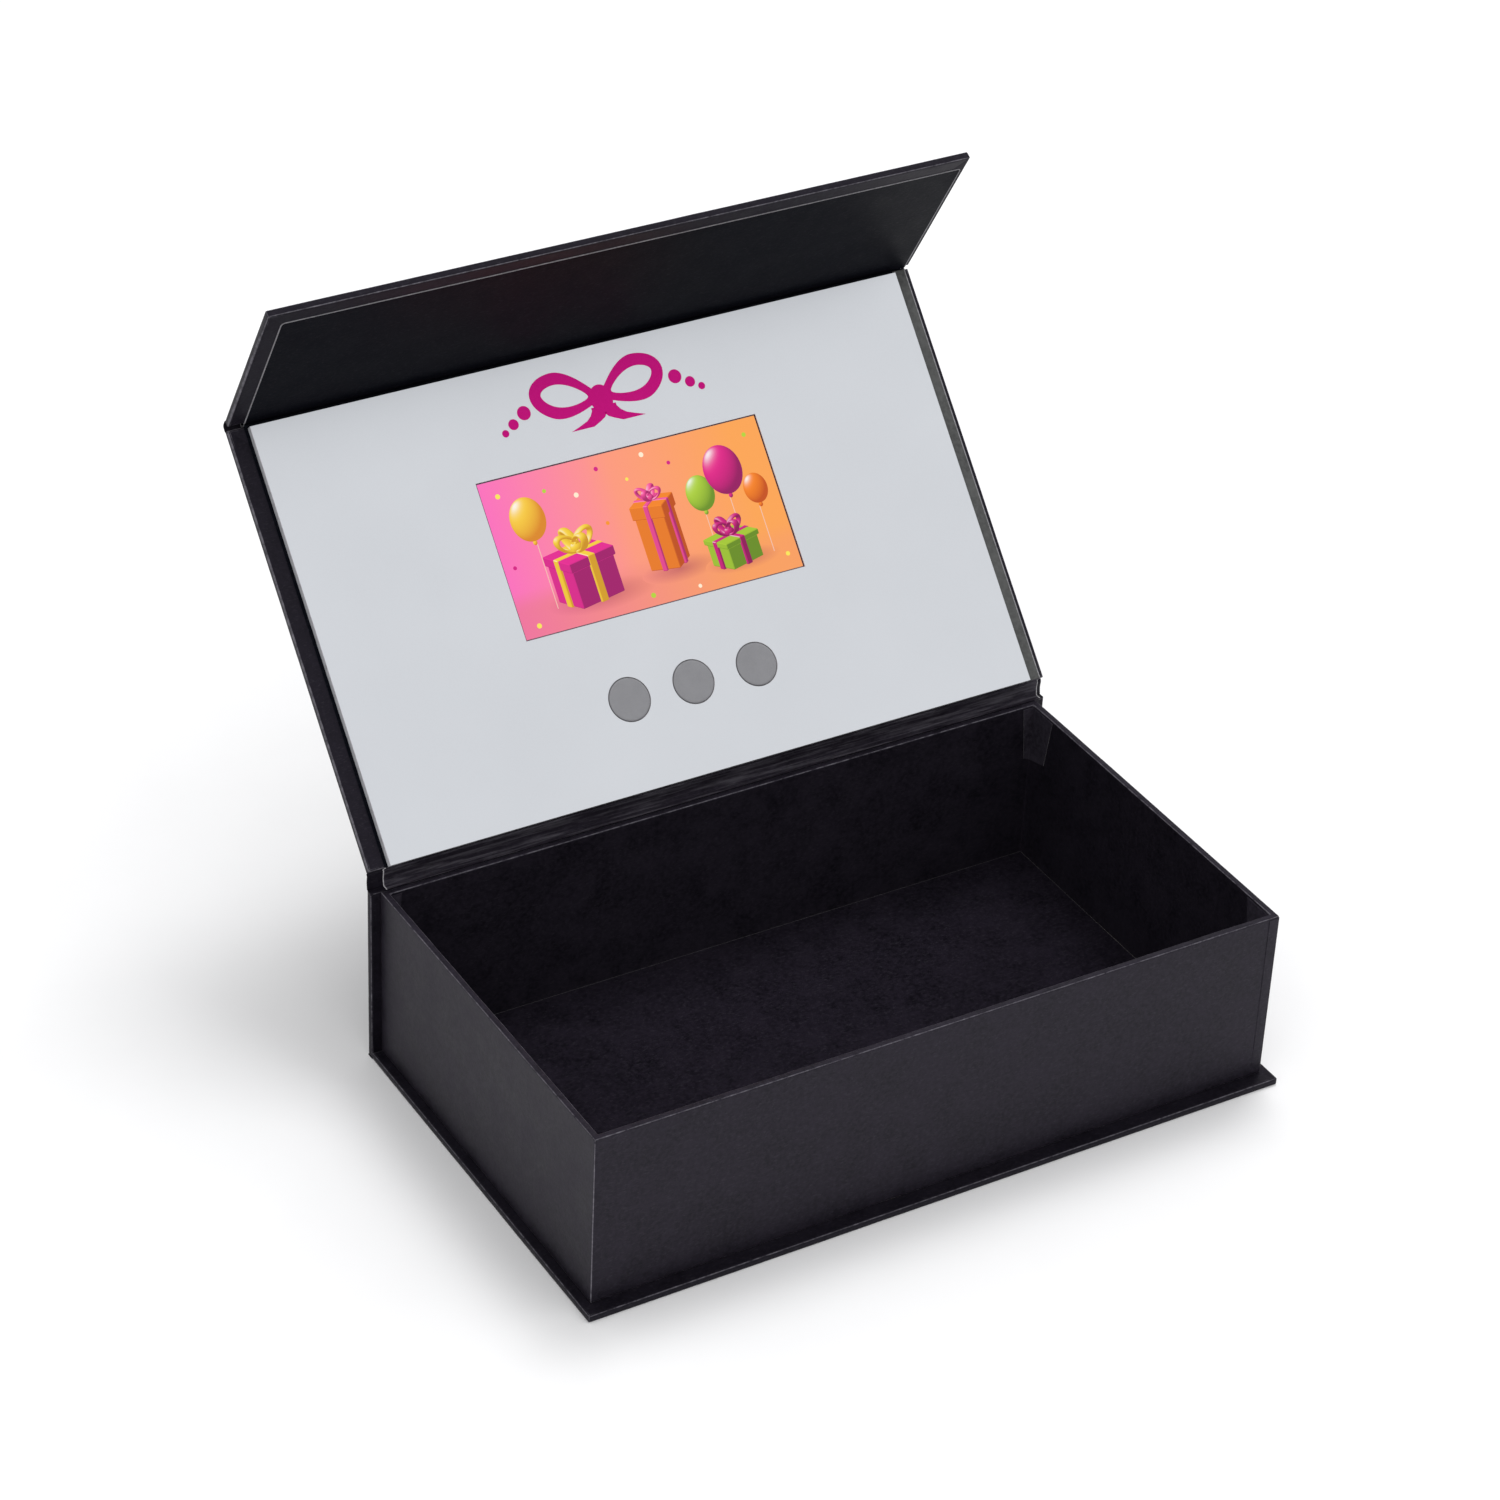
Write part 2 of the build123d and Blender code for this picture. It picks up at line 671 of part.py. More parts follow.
with BuildPart() as display_connector:
    with BuildSketch(lid_plane.offset(board_top)):
        with Locations((main_board_left + ribbon_socket / 2, window_middle)):
            Rectangle(ribbon_socket, ribbon_width + 2 * part_gap)
    extrude(amount=chip_height)
    with BuildSketch(lid_plane.offset(ribbon_level)):
        with Locations((main_board_left + ribbon_socket / 4, window_middle)):
            Rectangle(ribbon_socket / 2, ribbon_width)
    extrude(amount=ribbon_sheet, mode=Mode.SUBTRACT)
finish(display_connector, "display_connector")

button_lead_points = [
    (button_board_length / 2, button_place),
    (button_lead_turn, button_place),
    (button_lead_turn, button_lead_rise),
    (button_lead_x, button_lead_rise),
    (button_lead_x, main_board_back),
]
with BuildPart() as button_ribbon:
    with BuildSketch(lid_plane.offset(part_level)):
        with BuildLine():
            FilletPolyline(*button_lead_points, radius=button_lead_width)
        trace(line_width=button_lead_width)
    extrude(amount=button_lead_sheet)
finish(button_ribbon, "button_ribbon")

# Flap: panel with magnet pockets, wrap and liner
flap_face, flap_core, flap_bare = wrapped_panel(
    flap_plane, case_length, flap_panel_length, flap_panel_middle
)
with BuildPart() as flap_board:
    extrude(flap_core, amount=board)
    with BuildSketch(flap_plane.offset(paper + board)):
        with Locations(*[(place, magnet_place) for place in magnet_places]):
            Circle(magnet_diameter / 2 + magnet_fit)
    extrude(amount=-magnet_thickness - magnet_fit, mode=Mode.SUBTRACT)
finish(flap_board, "flap_board")

with BuildPart() as flap_wrap:
    extrude(flap_face, amount=case_panel)
    extrude(flap_core, amount=board, mode=Mode.SUBTRACT)
    extrude(flap_bare, amount=paper, mode=Mode.SUBTRACT)
finish(flap_wrap, "flap_wrap")

with BuildPart() as flap_magnets:
    with BuildSketch(flap_plane.offset(paper + board)):
        with Locations(*[(place, magnet_place) for place in magnet_places]):
            Circle(magnet_diameter / 2)
    extrude(amount=-magnet_thickness)
finish(flap_magnets, "flap_magnets")

flap_liner_end = flap_reach - lining_inset
flap_liner_width = flap_liner_end - flap_root_gap
flap_liner_middle = (flap_liner_end + flap_root_gap) / 2
with BuildPart() as flap_liner:
    extrude(
        panel(flap_plane.offset(case_panel), lining_length, flap_liner_width, flap_liner_middle),
        amount=lining_sheet,
    )
finish(flap_liner, "flap_liner")


def side_point(plane, reach, level):
    """A point on a panel's plane, seen from the side, as Y and Z."""
    point = plane.from_local_coords(Vector(0, reach, level))
    return (point.Y, point.Z)


# Paper hinge of the lid: the outer wrap from the spine to the lid, and the lining glued inside it
lid_bend = paper * (1 - cos(lean)) / sin(lean)
with BuildPart() as lid_crease:
    with BuildSketch(Plane.YZ):
        with BuildLine():
            Polyline(
                (hinge_y, rim_level),
                (hinge_y, hinge_z),
                side_point(lid_plane, lid_back_gap, 0),
                side_point(lid_plane, lid_back_gap, paper),
                side_point(lid_plane, -lid_bend, paper),
                (hinge_y - paper, rim_level),
                close=True,
            )
        make_face()
    extrude(amount=case_length / 2, both=True)
finish(lid_crease, "lid_crease")

liner_foot = tray_back + spine_gap
layers = paper + lining_sheet
liner_bend = layers * (1 - cos(lean)) / sin(lean)
liner_turn = lid_back_gap - lining_sheet
with BuildPart() as lid_hinge_liner:
    with BuildSketch(Plane.YZ):
        with BuildLine():
            Polyline(
                (liner_foot, rim_level),
                (hinge_y - paper, rim_level),
                side_point(lid_plane, -lid_bend, paper),
                side_point(lid_plane, lid_back_gap, paper),
                side_point(lid_plane, lid_back_gap, spacer_level),
                side_point(lid_plane, liner_turn, spacer_level),
                side_point(lid_plane, liner_turn, layers),
                side_point(lid_plane, -liner_bend, layers),
                (hinge_y - layers, rim_level + lining_sheet),
                (liner_foot, rim_level + lining_sheet),
                close=True,
            )
        make_face()
    extrude(amount=lining_length / 2, both=True)
finish(lid_hinge_liner, "lid_hinge_liner")

# Paper hinge of the flap: the outer wrap round the crease, and the lining glued inside it
crease_bend = paper * (1 - cos(fold)) / sin(fold)
with BuildPart() as flap_crease:
    with BuildSketch(Plane.YZ):
        with BuildLine():
            Polyline(
                side_point(lid_plane, lid_panel_front, 0),
                (crease_line.Y, crease_line.Z),
                side_point(flap_plane, flap_root_gap, 0),
                side_point(flap_plane, flap_root_gap, paper),
                side_point(flap_plane, crease_bend, paper),
                side_point(lid_plane, lid_panel_front, paper),
                close=True,
            )
        make_face()
    extrude(amount=case_length / 2, both=True)
finish(flap_crease, "flap_crease")

liner_fold = layers * (1 - cos(fold)) / sin(fold)
liner_front = lid_panel_front + lining_sheet
liner_root = flap_root_gap - lining_sheet
with BuildPart() as flap_hinge_liner:
    with BuildSketch(Plane.YZ):
        with BuildLine():
            Polyline(
                side_point(lid_plane, lid_panel_front, paper),
                side_point(lid_plane, lid_panel_front, spacer_level),
                side_point(lid_plane, liner_front, spacer_level),
                side_point(lid_plane, liner_front, layers),
                side_point(flap_plane, liner_fold, layers),
                side_point(flap_plane, liner_root, layers),
                side_point(flap_plane, liner_root, spacer_level),
                side_point(flap_plane, flap_root_gap, spacer_level),
                side_point(flap_plane, flap_root_gap, paper),
                side_point(flap_plane, crease_bend, paper),
                close=True,
            )
        make_face()
    extrude(amount=lining_length / 2, both=True)
finish(flap_hinge_liner, "flap_hinge_liner")

print("bend radii of the leads, mm:", lead_bend, button_lead_width)
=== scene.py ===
import bmesh
import bpy
import json
import math
from mathutils import Matrix, Vector


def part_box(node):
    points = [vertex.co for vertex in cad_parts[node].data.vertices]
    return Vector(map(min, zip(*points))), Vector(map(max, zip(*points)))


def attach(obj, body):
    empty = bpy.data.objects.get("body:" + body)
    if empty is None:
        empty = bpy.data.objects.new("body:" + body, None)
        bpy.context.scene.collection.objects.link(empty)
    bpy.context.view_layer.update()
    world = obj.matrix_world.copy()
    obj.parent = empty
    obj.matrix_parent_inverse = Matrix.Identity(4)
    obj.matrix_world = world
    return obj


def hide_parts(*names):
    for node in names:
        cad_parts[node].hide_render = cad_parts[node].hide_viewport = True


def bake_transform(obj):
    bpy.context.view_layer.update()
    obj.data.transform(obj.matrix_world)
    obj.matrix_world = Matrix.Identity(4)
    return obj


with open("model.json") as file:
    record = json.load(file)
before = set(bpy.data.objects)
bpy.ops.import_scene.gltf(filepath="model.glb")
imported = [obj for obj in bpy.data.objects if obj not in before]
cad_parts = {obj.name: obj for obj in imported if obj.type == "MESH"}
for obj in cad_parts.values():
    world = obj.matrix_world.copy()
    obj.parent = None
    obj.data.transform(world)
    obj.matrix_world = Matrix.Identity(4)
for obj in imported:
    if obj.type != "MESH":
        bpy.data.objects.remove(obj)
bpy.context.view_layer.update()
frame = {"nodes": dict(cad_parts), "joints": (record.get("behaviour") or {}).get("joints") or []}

# Camera. A long lens looks down over the box's front left corner from about a metre and a half.
# It has a slight roll, so the upright edges lean a little.
mm = 0.001
camera_turn = math.radians(-31.823)
camera_rise = math.radians(33.469)
camera_roll = math.radians(2.769)
camera_distance = 1417.514 * mm
camera_target = Vector((-36.651, -2.2, 141.723)) * mm
camera_back = Vector((
    math.sin(camera_turn) * math.cos(camera_rise),
    -math.cos(camera_turn) * math.cos(camera_rise),
    math.sin(camera_rise),
))
camera_side = (-camera_back).cross(Vector((0, 0, 1))).normalized()
camera_up = camera_side.cross(-camera_back)
camera_right = camera_side * math.cos(camera_roll) + camera_up * math.sin(camera_roll)
camera_top = camera_up * math.cos(camera_roll) - camera_side * math.sin(camera_roll)
bpy.ops.object.select_all(action="DESELECT")
bpy.ops.object.camera_add(location=camera_target + camera_back * camera_distance)
camera = bpy.context.object
camera.rotation_euler = Matrix((camera_right, camera_top, camera_back)).transposed().to_euler()
camera.data.lens = 107.527
camera.data.sensor_width = 36
camera.data.clip_start = 0.1
camera.data.clip_end = 40
camera.data.dof.use_dof = False
bpy.context.scene.camera = camera
bpy.context.scene.view_settings.view_transform = "Standard"


# Boards of the base and the spine. Grey board pressed from waste paper, cut square with a knife,
# with flecks of dark and pale fibre all through it. The black paper hides all but its middle.
def tone(red, green, blue):
    """A colour for a shader from the red, green and blue that the eye sees, each up to 255."""
    shares = [value / 255 for value in (red, green, blue)]
    return tuple(
        share / 12.92 if share < 0.04045 else ((share + 0.055) / 1.055) ** 2.4 for share in shares
    ) + (1.0,)


def add(tree, kind, inputs, **settings):
    """Add a shader node. An input is a value or another node's output."""
    made = tree.nodes.new("ShaderNode" + kind)
    for setting, value in settings.items():
        setattr(made, setting, value)
    for socket, value in inputs.items():
        if isinstance(value, bpy.types.NodeSocket):
            tree.links.new(value, made.inputs[socket])
        else:
            made.inputs[socket].default_value = value
    return made


def start_finish(name, roughness, metallic=0.0, specular=0.3):
    """Start a finish. Gives its material, node tree, surface shader and place on the object."""
    material = bpy.data.materials.new(name)
    material.use_nodes = True
    tree = material.node_tree
    surface = tree.nodes["Principled BSDF"]
    surface.inputs["Roughness"].default_value = roughness
    surface.inputs["Metallic"].default_value = metallic
    surface.inputs["Specular IOR Level"].default_value = specular
    place = add(tree, "TexCoord", {}).outputs["Object"]
    return material, tree, surface, place


def speckle(tree, place, size, detail=3.0, spread=0.5):
    """Soft random patches of about the given size, from 0 to 1."""
    inputs = {"Vector": place, "Scale": 1 / size, "Detail": detail, "Roughness": spread}
    return add(tree, "TexNoise", inputs).outputs["Fac"]


def level(tree, value, start, end, low, high):
    """Stretch the part of a value between start and end to low and high."""
    inputs = {"Value": value, "From Min": start, "From Max": end, "To Min": low, "To Max": high}
    return add(tree, "MapRange", inputs).outputs["Result"]


def mix(tree, share, first, second, how="MIX"):
    """Mix two colours."""
    inputs = {"Fac": share, "Color1": first, "Color2": second}
    return add(tree, "MixRGB", inputs, blend_type=how).outputs["Color"]


def coat(tree, surface, shade):
    """Let a colour show on a surface."""
    tree.links.new(shade, surface.inputs["Base Color"])


def roughen(tree, surface, height, depth, strength=1.0):
    """Raise and sink a surface by a value."""
    bump = add(tree, "Bump", {"Height": height, "Distance": depth, "Strength": strength})
    tree.links.new(bump.outputs["Normal"], surface.inputs["Normal"])


def dress(node, material):
    """Give a CAD piece its finish."""
    piece = frame["nodes"][node]
    if not piece.material_slots:
        piece.data.materials.append(material)
    for slot in piece.material_slots:
        slot.material = material


greyboard, tree, surface, place = start_finish("greyboard", 0.92, specular=0.2)
flecks = level(tree, speckle(tree, place, 0.5 * mm, 2.0), 0.56, 0.66, 0.0, 0.8)
pulp = speckle(tree, place, 6 * mm, 6.0, 0.65)
board_tone = mix(tree, pulp, tone(158, 154, 147), tone(118, 114, 108))
board_tone = mix(tree, flecks, board_tone, tone(70, 66, 62))
coat(tree, surface, board_tone)
roughen(tree, surface, speckle(tree, place, 0.3 * mm, 4.0), 0.08 * mm)
for node in ("base_board", "spine_board"):
    dress(node, greyboard)


# Wrap of the base. One sheet of matte charcoal-black paper is glued round the board, folded over
# its edges and turned in 15 mm on the inner face, where the corners meet in a mitre. The folds are
# a little round, and the dye has rubbed thin on them.
paper_sheet = 0.2 * mm
turn_in = 15 * mm
fold_round = 0.5 * mm
score_pitch = 12 * mm


def start(add_shape, stretch=(1, 1, 1), place=(0, 0, 0), **settings):
    """Start a piece from one of Blender's own shapes, brought to its size and place."""
    bpy.ops.object.select_all(action="DESELECT")
    add_shape(location=(0, 0, 0), **settings)
    piece = bpy.context.object
    piece.scale = stretch
    piece.location = place
    bpy.ops.object.transform_apply(location=True, rotation=True, scale=True)
    return piece


def start_board(name, low, high):
    """Start a board or sheet as a cube between two corners."""
    low = Vector(low)
    high = Vector(high)
    piece = start(bpy.ops.mesh.primitive_cube_add, high - low, (low + high) / 2, size=1)
    piece.name = name
    return piece


def middle(part):
    """The middle of an edge or a face."""
    return sum((point.co for point in part.verts), Vector()) / len(part.verts)


def open_mesh():
    """Open the active piece for cutting and shaping."""
    bpy.ops.object.mode_set(mode="EDIT")


def close_mesh():
    """Close the piece again once it is shaped."""
    bpy.ops.object.mode_set(mode="OBJECT")


def pick(piece, kind, wanted):
    """Select the edges or faces that a test wants, in edit mode."""
    bpy.ops.mesh.select_mode(type=kind)
    bpy.ops.mesh.select_all(action="DESELECT")
    shape = bmesh.from_edit_mesh(piece.data)
    for part in shape.edges if kind == "EDGE" else shape.faces:
        if wanted(part):
            part.select_set(True)
    bmesh.update_edit_mesh(piece.data)


def score(axis, places):
    """Cut the whole piece across at each place, so that it can bend and wear there."""
    for cut in places:
        point = [0, 0, 0]
        normal = [0, 0, 0]
        point[axis] = cut
        normal[axis] = 1
        bpy.ops.mesh.select_all(action="SELECT")
        bpy.ops.mesh.bisect(plane_co=point, plane_no=normal)


def ruled(low, high, pitch, margin):
    """Places a margin in from each end, and others between them about a pitch apart."""
    count = max(1, round((high - low - 2 * margin) / pitch))
    step = (high - low - 2 * margin) / count
    return [low + margin + step * number for number in range(count + 1)]


def ripple(piece, height, size):
    """Let a glued sheet rise and fall a little, as paper on board does."""
    waves = bpy.data.textures.new(piece.name + "_ripple", "CLOUDS")
    waves.noise_scale = size
    swell = piece.modifiers.new("ripple", "DISPLACE")
    swell.texture = waves
    swell.texture_coords = "LOCAL"
    swell.strength = height
    swell.mid_level = 0.5
    bpy.context.view_layer.objects.active = piece
    bpy.ops.object.modifier_apply(modifier="ripple")


def thicken(piece, sheet):
    """Give a sheet its thickness, behind the face that shows."""
    wall = piece.modifiers.new("sheet", "SOLIDIFY")
    wall.thickness = sheet
    wall.offset = -1
    bpy.context.view_layer.objects.active = piece
    bpy.ops.object.modifier_apply(modifier="sheet")


def mark_folds(piece, wear):
    """Mark the points on folds that stick out, for the finish to rub them pale by a share."""
    shape = bmesh.new()
    shape.from_mesh(piece.data)
    worn = shape.verts.layers.float.new("fold_wear_and_rim_shade")
    for point in shape.verts:
        turns = [edge.calc_face_angle_signed(0.0) for edge in point.link_edges]
        point[worn] = wear(point.co) if max(turns) > 0.3 else 0.0
    shape.to_mesh(piece.data)
    shape.free()


def take(piece):
    """Select one piece alone."""
    bpy.ops.object.select_all(action="DESELECT")
    piece.select_set(True)
    bpy.context.view_layer.objects.active = piece


def settle(piece, pose):
    """Move, turn and stretch a piece by a pose, and leave its object at the origin."""
    piece.matrix_world = pose
    bpy.ops.object.transform_apply(location=True, rotation=True, scale=True)


def set_down(piece, body, material, plane=None, smooth=40):
    """Put a finished piece in its place, shade it, give it its finish and let it ride."""
    take(piece)
    if plane:
        settle(piece, plane)
    bpy.ops.object.shade_smooth_by_angle(angle=math.radians(smooth))
    piece.data.materials.append(material)
    if body:
        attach(piece, body)


def wrapped_board(name, low, high, flush, wear):
    """A board's paper wrap: folded edges, and a mitred margin turned in on the upper face.
    The edges that a test calls flush run straight on into the paper of a hinge."""
    piece = start_board(name, low, high)
    open_mesh()
    pick(piece, "EDGE", lambda part: not flush(middle(part)))
    bpy.ops.mesh.bevel(offset=fold_round, segments=3, affect="EDGES")
    pick(piece, "FACE", lambda part: part.normal.z > 0.99)
    bpy.ops.mesh.inset(thickness=turn_in - fold_round)
    bpy.ops.mesh.delete(type="FACE")
    pick(piece, "FACE", lambda part: part.normal.z > 0.99)
    bpy.ops.mesh.inset(thickness=0.2 * mm, depth=0.04 * mm, use_individual=True)
    for axis in (0, 1):
        score(axis, ruled(low[axis], high[axis], score_pitch, 1.0 * mm))
    close_mesh()
    mark_folds(piece, lambda place: 0.0 if flush(place) else wear)
    ripple(piece, 0.16 * mm, 22 * mm)
    thicken(piece, paper_sheet)
    return piece


def mapped(tree, place, **inputs):
    """The place on the object, shifted, turned or stretched."""
    return add(tree, "Mapping", {"Vector": place, **inputs}).outputs["Vector"]


def polish(tree, surface, pattern, smooth, rough):
    """Let a surface's gloss follow a pattern."""
    tree.links.new(level(tree, pattern, 0.3, 0.7, smooth, rough), surface.inputs["Roughness"])


def black_paper(
    name, dark, light, worn, rub, roughness, gloss, streaked=0.0, cast=(0.86, 0.81, 1.0, 1.0)
):
    """Matte black paper: clouded dye, short fibres, a fine tooth and folds rubbed pale. Where it was
    pulled round a board it may be streaked along its length. Its shine has a cool cast."""
    material, tree, surface, place = start_finish(name, roughness, specular=gloss)
    surface.inputs["Specular Tint"].default_value = cast
    cloud = speckle(tree, place, 11 * mm, 5.0, 0.6)
    mottle = speckle(tree, place, 1.6 * mm, 3.0, 0.6)
    stretch = mapped(tree, place, Scale=(0.35, 1.0, 1.0))
    fibre = speckle(tree, stretch, 0.5 * mm, 2.0, 0.7)
    shade = mix(tree, level(tree, mottle, 0.35, 0.65, 0.0, 0.6), dark, light)
    shade = mix(tree, level(tree, cloud, 0.36, 0.64, 0.0, 0.5), shade, light)
    shade = mix(tree, level(tree, fibre, 0.55, 0.8, 0.0, 0.16), shade, tone(92, 90, 97))
    if streaked:
        drawn = mapped(tree, place, Scale=(0.06, 1.0, 1.0))
        streaks = speckle(tree, drawn, 1.1 * mm, 4.0, 0.65)
        shade = mix(tree, level(tree, streaks, 0.45, 0.65, 0.0, streaked), shade, worn)
    fold_wear_and_rim_shade = add(tree, "Attribute", {}, attribute_name="fold_wear_and_rim_shade").outputs["Fac"]
    scuffs = speckle(tree, place, 3 * mm, 5.0, 0.75)
    rubbed = add(tree, "Math", {0: fold_wear_and_rim_shade, 1: scuffs}, operation="MULTIPLY").outputs["Value"]
    shade = mix(tree, level(tree, rubbed, 0.25, 0.6, 0.0, rub), shade, worn)
    coat(tree, surface, shade)
    polish(tree, surface, cloud, roughness - 0.05, roughness + 0.05)
    tooth = mix(tree, 0.4, mottle, fibre)
    roughen(tree, surface, tooth, 0.12 * mm, 0.5)
    return material


case_paper = black_paper(
    "case_paper", tone(14, 12, 18), tone(27, 24, 32), tone(158, 155, 164), 0.5, 0.5, 0.16
)
low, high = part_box("base_wrap")
base_paper = wrapped_board(
    "base_paper", low, high, lambda place: place.y > high.y - 1e-5 and place.z < 1e-5, 0.74
)
for point in base_paper.data.vertices:
    point.co.z = max(point.co.z, 0)
set_down(base_paper, "tray", case_paper)
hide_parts("base_wrap")


# Wrap of the spine, the panel that stands behind the tray and carries the lid's hinge. It is
# wrapped like the base, and its paper runs on into the base's at the foot and the lid's at the top.
spine_plane = Matrix(((1, 0, 0, 0), (0, 0, -1, 0), (0, 1, 0, 0), (0, 0, 0, 1)))
low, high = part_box("spine_wrap")
spine_plane.translation = (0, high.y, 0)
spine_low = (low.x, low.z, 0)
spine_high = (high.x, high.z, high.y - low.y)


def spine_flush(place):
    """Tell whether a place is where the spine's paper runs on into a hinge."""
    return place.y > high.z - 1e-5 or (place.y < low.z + 1e-5 and place.z < 1e-5)


spine_paper = wrapped_board("spine_paper", spine_low, spine_high, spine_flush, 0.8)
set_down(spine_paper, "tray", case_paper, spine_plane)
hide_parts("spine_wrap")


# Fold between the base and the spine. Here the case paper has no board behind it: it passes
# under the gap and turns up the spine's foot.
def face_towards(piece, near, facing):
    """Turn a sheet's faces to one side, which has the given facing at the place given."""
    bpy.ops.mesh.select_all(action="SELECT")
    bpy.ops.mesh.normals_make_consistent(inside=False)
    shape = bmesh.from_edit_mesh(piece.data)
    first = min(shape.faces, key=lambda face: (middle(face) - near).length)
    if first.normal.dot(facing) < 0:
        bpy.ops.mesh.flip_normals()


def folded_strip(name, length, points, bend, facing, margin=1.6 * mm, sheet=paper_sheet):
    """Fold a strip of paper along the hinge through points seen from its end, with rounded folds.
    The points lie on one side of the sheet, which has the given facing at the first of them."""
    piece = start(bpy.ops.mesh.primitive_plane_add, (length, 1, 1), size=1)
    piece.name = name
    open_mesh()
    pick(piece, "EDGE", lambda part: middle(part).y > 0.4)
    bpy.ops.mesh.delete(type="VERT")
    bpy.ops.mesh.select_all(action="SELECT")
    bpy.ops.transform.translate(value=Vector((0, 0.5, 0)) + points[0])
    for fold_from, fold_to in zip(points, points[1:]):
        bpy.ops.mesh.extrude_region_move(TRANSFORM_OT_translate={"value": fold_to - fold_from})
    pick(piece, "EDGE", lambda part: not part.is_boundary)
    bpy.ops.mesh.bevel(offset=bend, segments=4, affect="EDGES")
    score(0, ruled(points[0].x - length / 2, points[0].x + length / 2, score_pitch, margin))
    face_towards(piece, points[0], facing)
    close_mesh()
    mark_folds(piece, lambda place: 0.6)
    thicken(piece, sheet)
    return piece


low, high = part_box("base_crease")
case_length = high.x - low.x
base_points = [
    Vector((0, low.y, low.z)),
    Vector((0, high.y, low.z)),
    Vector((0, high.y, high.z)),
]
base_fold = folded_strip("base_fold", case_length, base_points, 0.15 * mm, Vector((0, 0.7, -0.7)))
set_down(base_fold, "tray", case_paper)
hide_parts("base_crease")


# Tray boards. Four walls and a floor of the same grey board, butted and taped at the corners.
# Pockets in the front wall hold steel discs, and a slot in the right wall holds a small magnet.
for node in ("tray_front_wall", "tray_back_wall", "tray_left_wall", "tray_right_wall", "tray_floor"):
    dress(node, greyboard)


# Keeper discs of zinc-plated steel, for the flap's magnets to hold, and the nickel-plated bar
# magnet that tells the player when the lid is shut. All are glued into the board.
def bright_metal(name, colour, dull, roughness):
    """Plated metal with faint tarnish and fine scratches."""
    material, tree, surface, place = start_finish(name, roughness, 1.0, 0.5)
    tarnish = speckle(tree, place, 4 * mm, 5.0, 0.65)
    metal = mix(tree, level(tree, tarnish, 0.4, 0.7, 0.0, 1.0), colour, dull)
    coat(tree, surface, metal)
    polish(tree, surface, tarnish, roughness - 0.06, roughness + 0.14)
    streak = mapped(tree, place, Scale=(1.0, 14.0, 14.0))
    roughen(tree, surface, speckle(tree, streak, 2 * mm, 3.0, 0.7), 0.02 * mm, 0.5)
    return material


dress("keeper_discs", bright_metal("zinc_plate", tone(176, 178, 182), tone(128, 130, 134), 0.38))
nickel = bright_metal("nickel_plate", tone(205, 200, 192), tone(160, 154, 144), 0.2)
dress("trigger_magnet", nickel)


# Tray paper. One black sheet wraps all four walls: it is turned in under the tray, climbs the
# outside, folds over the rim and runs down inside to the floor. The rim shows two worn folds.
wall = 2.4 * mm
score_margin = 0.9 * mm
low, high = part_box("tray_wrap")
tray_floor_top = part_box("tray_floor")[1].z
tray_paper = start_board("tray_paper", low, high)
open_mesh()
pick(tray_paper, "FACE", lambda part: part.normal.z > 0.99)
bpy.ops.mesh.inset(thickness=wall)
bpy.ops.mesh.extrude_region_move(TRANSFORM_OT_translate={"value": (0, 0, tray_floor_top - high.z)})
bpy.ops.mesh.delete(type="FACE")
pick(tray_paper, "FACE", lambda part: part.normal.z < -0.99)
bpy.ops.mesh.inset(thickness=turn_in)
bpy.ops.mesh.delete(type="FACE")
pick(tray_paper, "EDGE", lambda part: not part.is_boundary and part.calc_face_angle(0.0) > 1)
bpy.ops.mesh.bevel(offset=fold_round, segments=3, affect="EDGES")
for axis in (0, 1):
    score(axis, ruled(low[axis], high[axis], score_pitch, score_margin))
    score(axis, [low[axis] + wall + 0.6 * mm, high[axis] - wall - 0.6 * mm])
score(2, ruled(low.z, high.z, score_pitch, score_margin))
close_mesh()
mark_folds(tray_paper, lambda place: 1.0 if place.z < high.z - 1.2 * mm else 0.76)
ripple(tray_paper, 0.3 * mm, 20 * mm)
thicken(tray_paper, paper_sheet)
wall_paper = black_paper(
    "wall_paper", tone(17, 15, 21), tone(40, 36, 45), tone(158, 155, 164), 0.5, 0.5, 0.18
)
set_down(tray_paper, "tray", wall_paper)
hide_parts("tray_wrap")


# Corner tabs. Where the tray's paper was cut at a corner, a small tab is pasted round the inside,
# from the rim a third of the way down, narrower at its foot.
tab_drop = 22 * mm
tab_on_back = 4 * mm
tab_on_side = 12 * mm
tab_middle = (-tab_on_back / 2, -tab_drop / 2, 0)
first_tab = start(bpy.ops.mesh.primitive_plane_add, (tab_on_back, tab_drop, 1), tab_middle, size=1)
open_mesh()
shape = bmesh.from_edit_mesh(first_tab.data)
for point in shape.verts:
    point.co.z = point.co.y
    point.co.y = 0
bmesh.update_edit_mesh(first_tab.data)
pick(first_tab, "EDGE", lambda part: middle(part).x > -0.1 * mm)
bpy.ops.mesh.extrude_region_move(TRANSFORM_OT_translate={"value": (0, -tab_on_side, 0)})
shape = bmesh.from_edit_mesh(first_tab.data)
for point in shape.verts:
    if point.co.z < -1 * mm and point.co.x < -1 * mm:
        point.co += Vector((1.8 * mm, 0, 1 * mm))
    if point.co.z < -1 * mm and point.co.y < -1 * mm:
        point.co += Vector((0, 3 * mm, 2.5 * mm))
bmesh.update_edit_mesh(first_tab.data)
face_towards(first_tab, Vector((-tab_on_back / 2, 0, -tab_drop / 2)), Vector((0, -1, 0)))
close_mesh()


def copy_of(piece):
    """A copy of a piece, with its own mesh."""
    take(piece)
    bpy.ops.object.duplicate()
    return bpy.context.object


def turn_over(piece):
    """Turn all of a piece's faces the other way."""
    take(piece)
    open_mesh()
    bpy.ops.mesh.select_all(action="SELECT")
    bpy.ops.mesh.flip_normals()
    close_mesh()


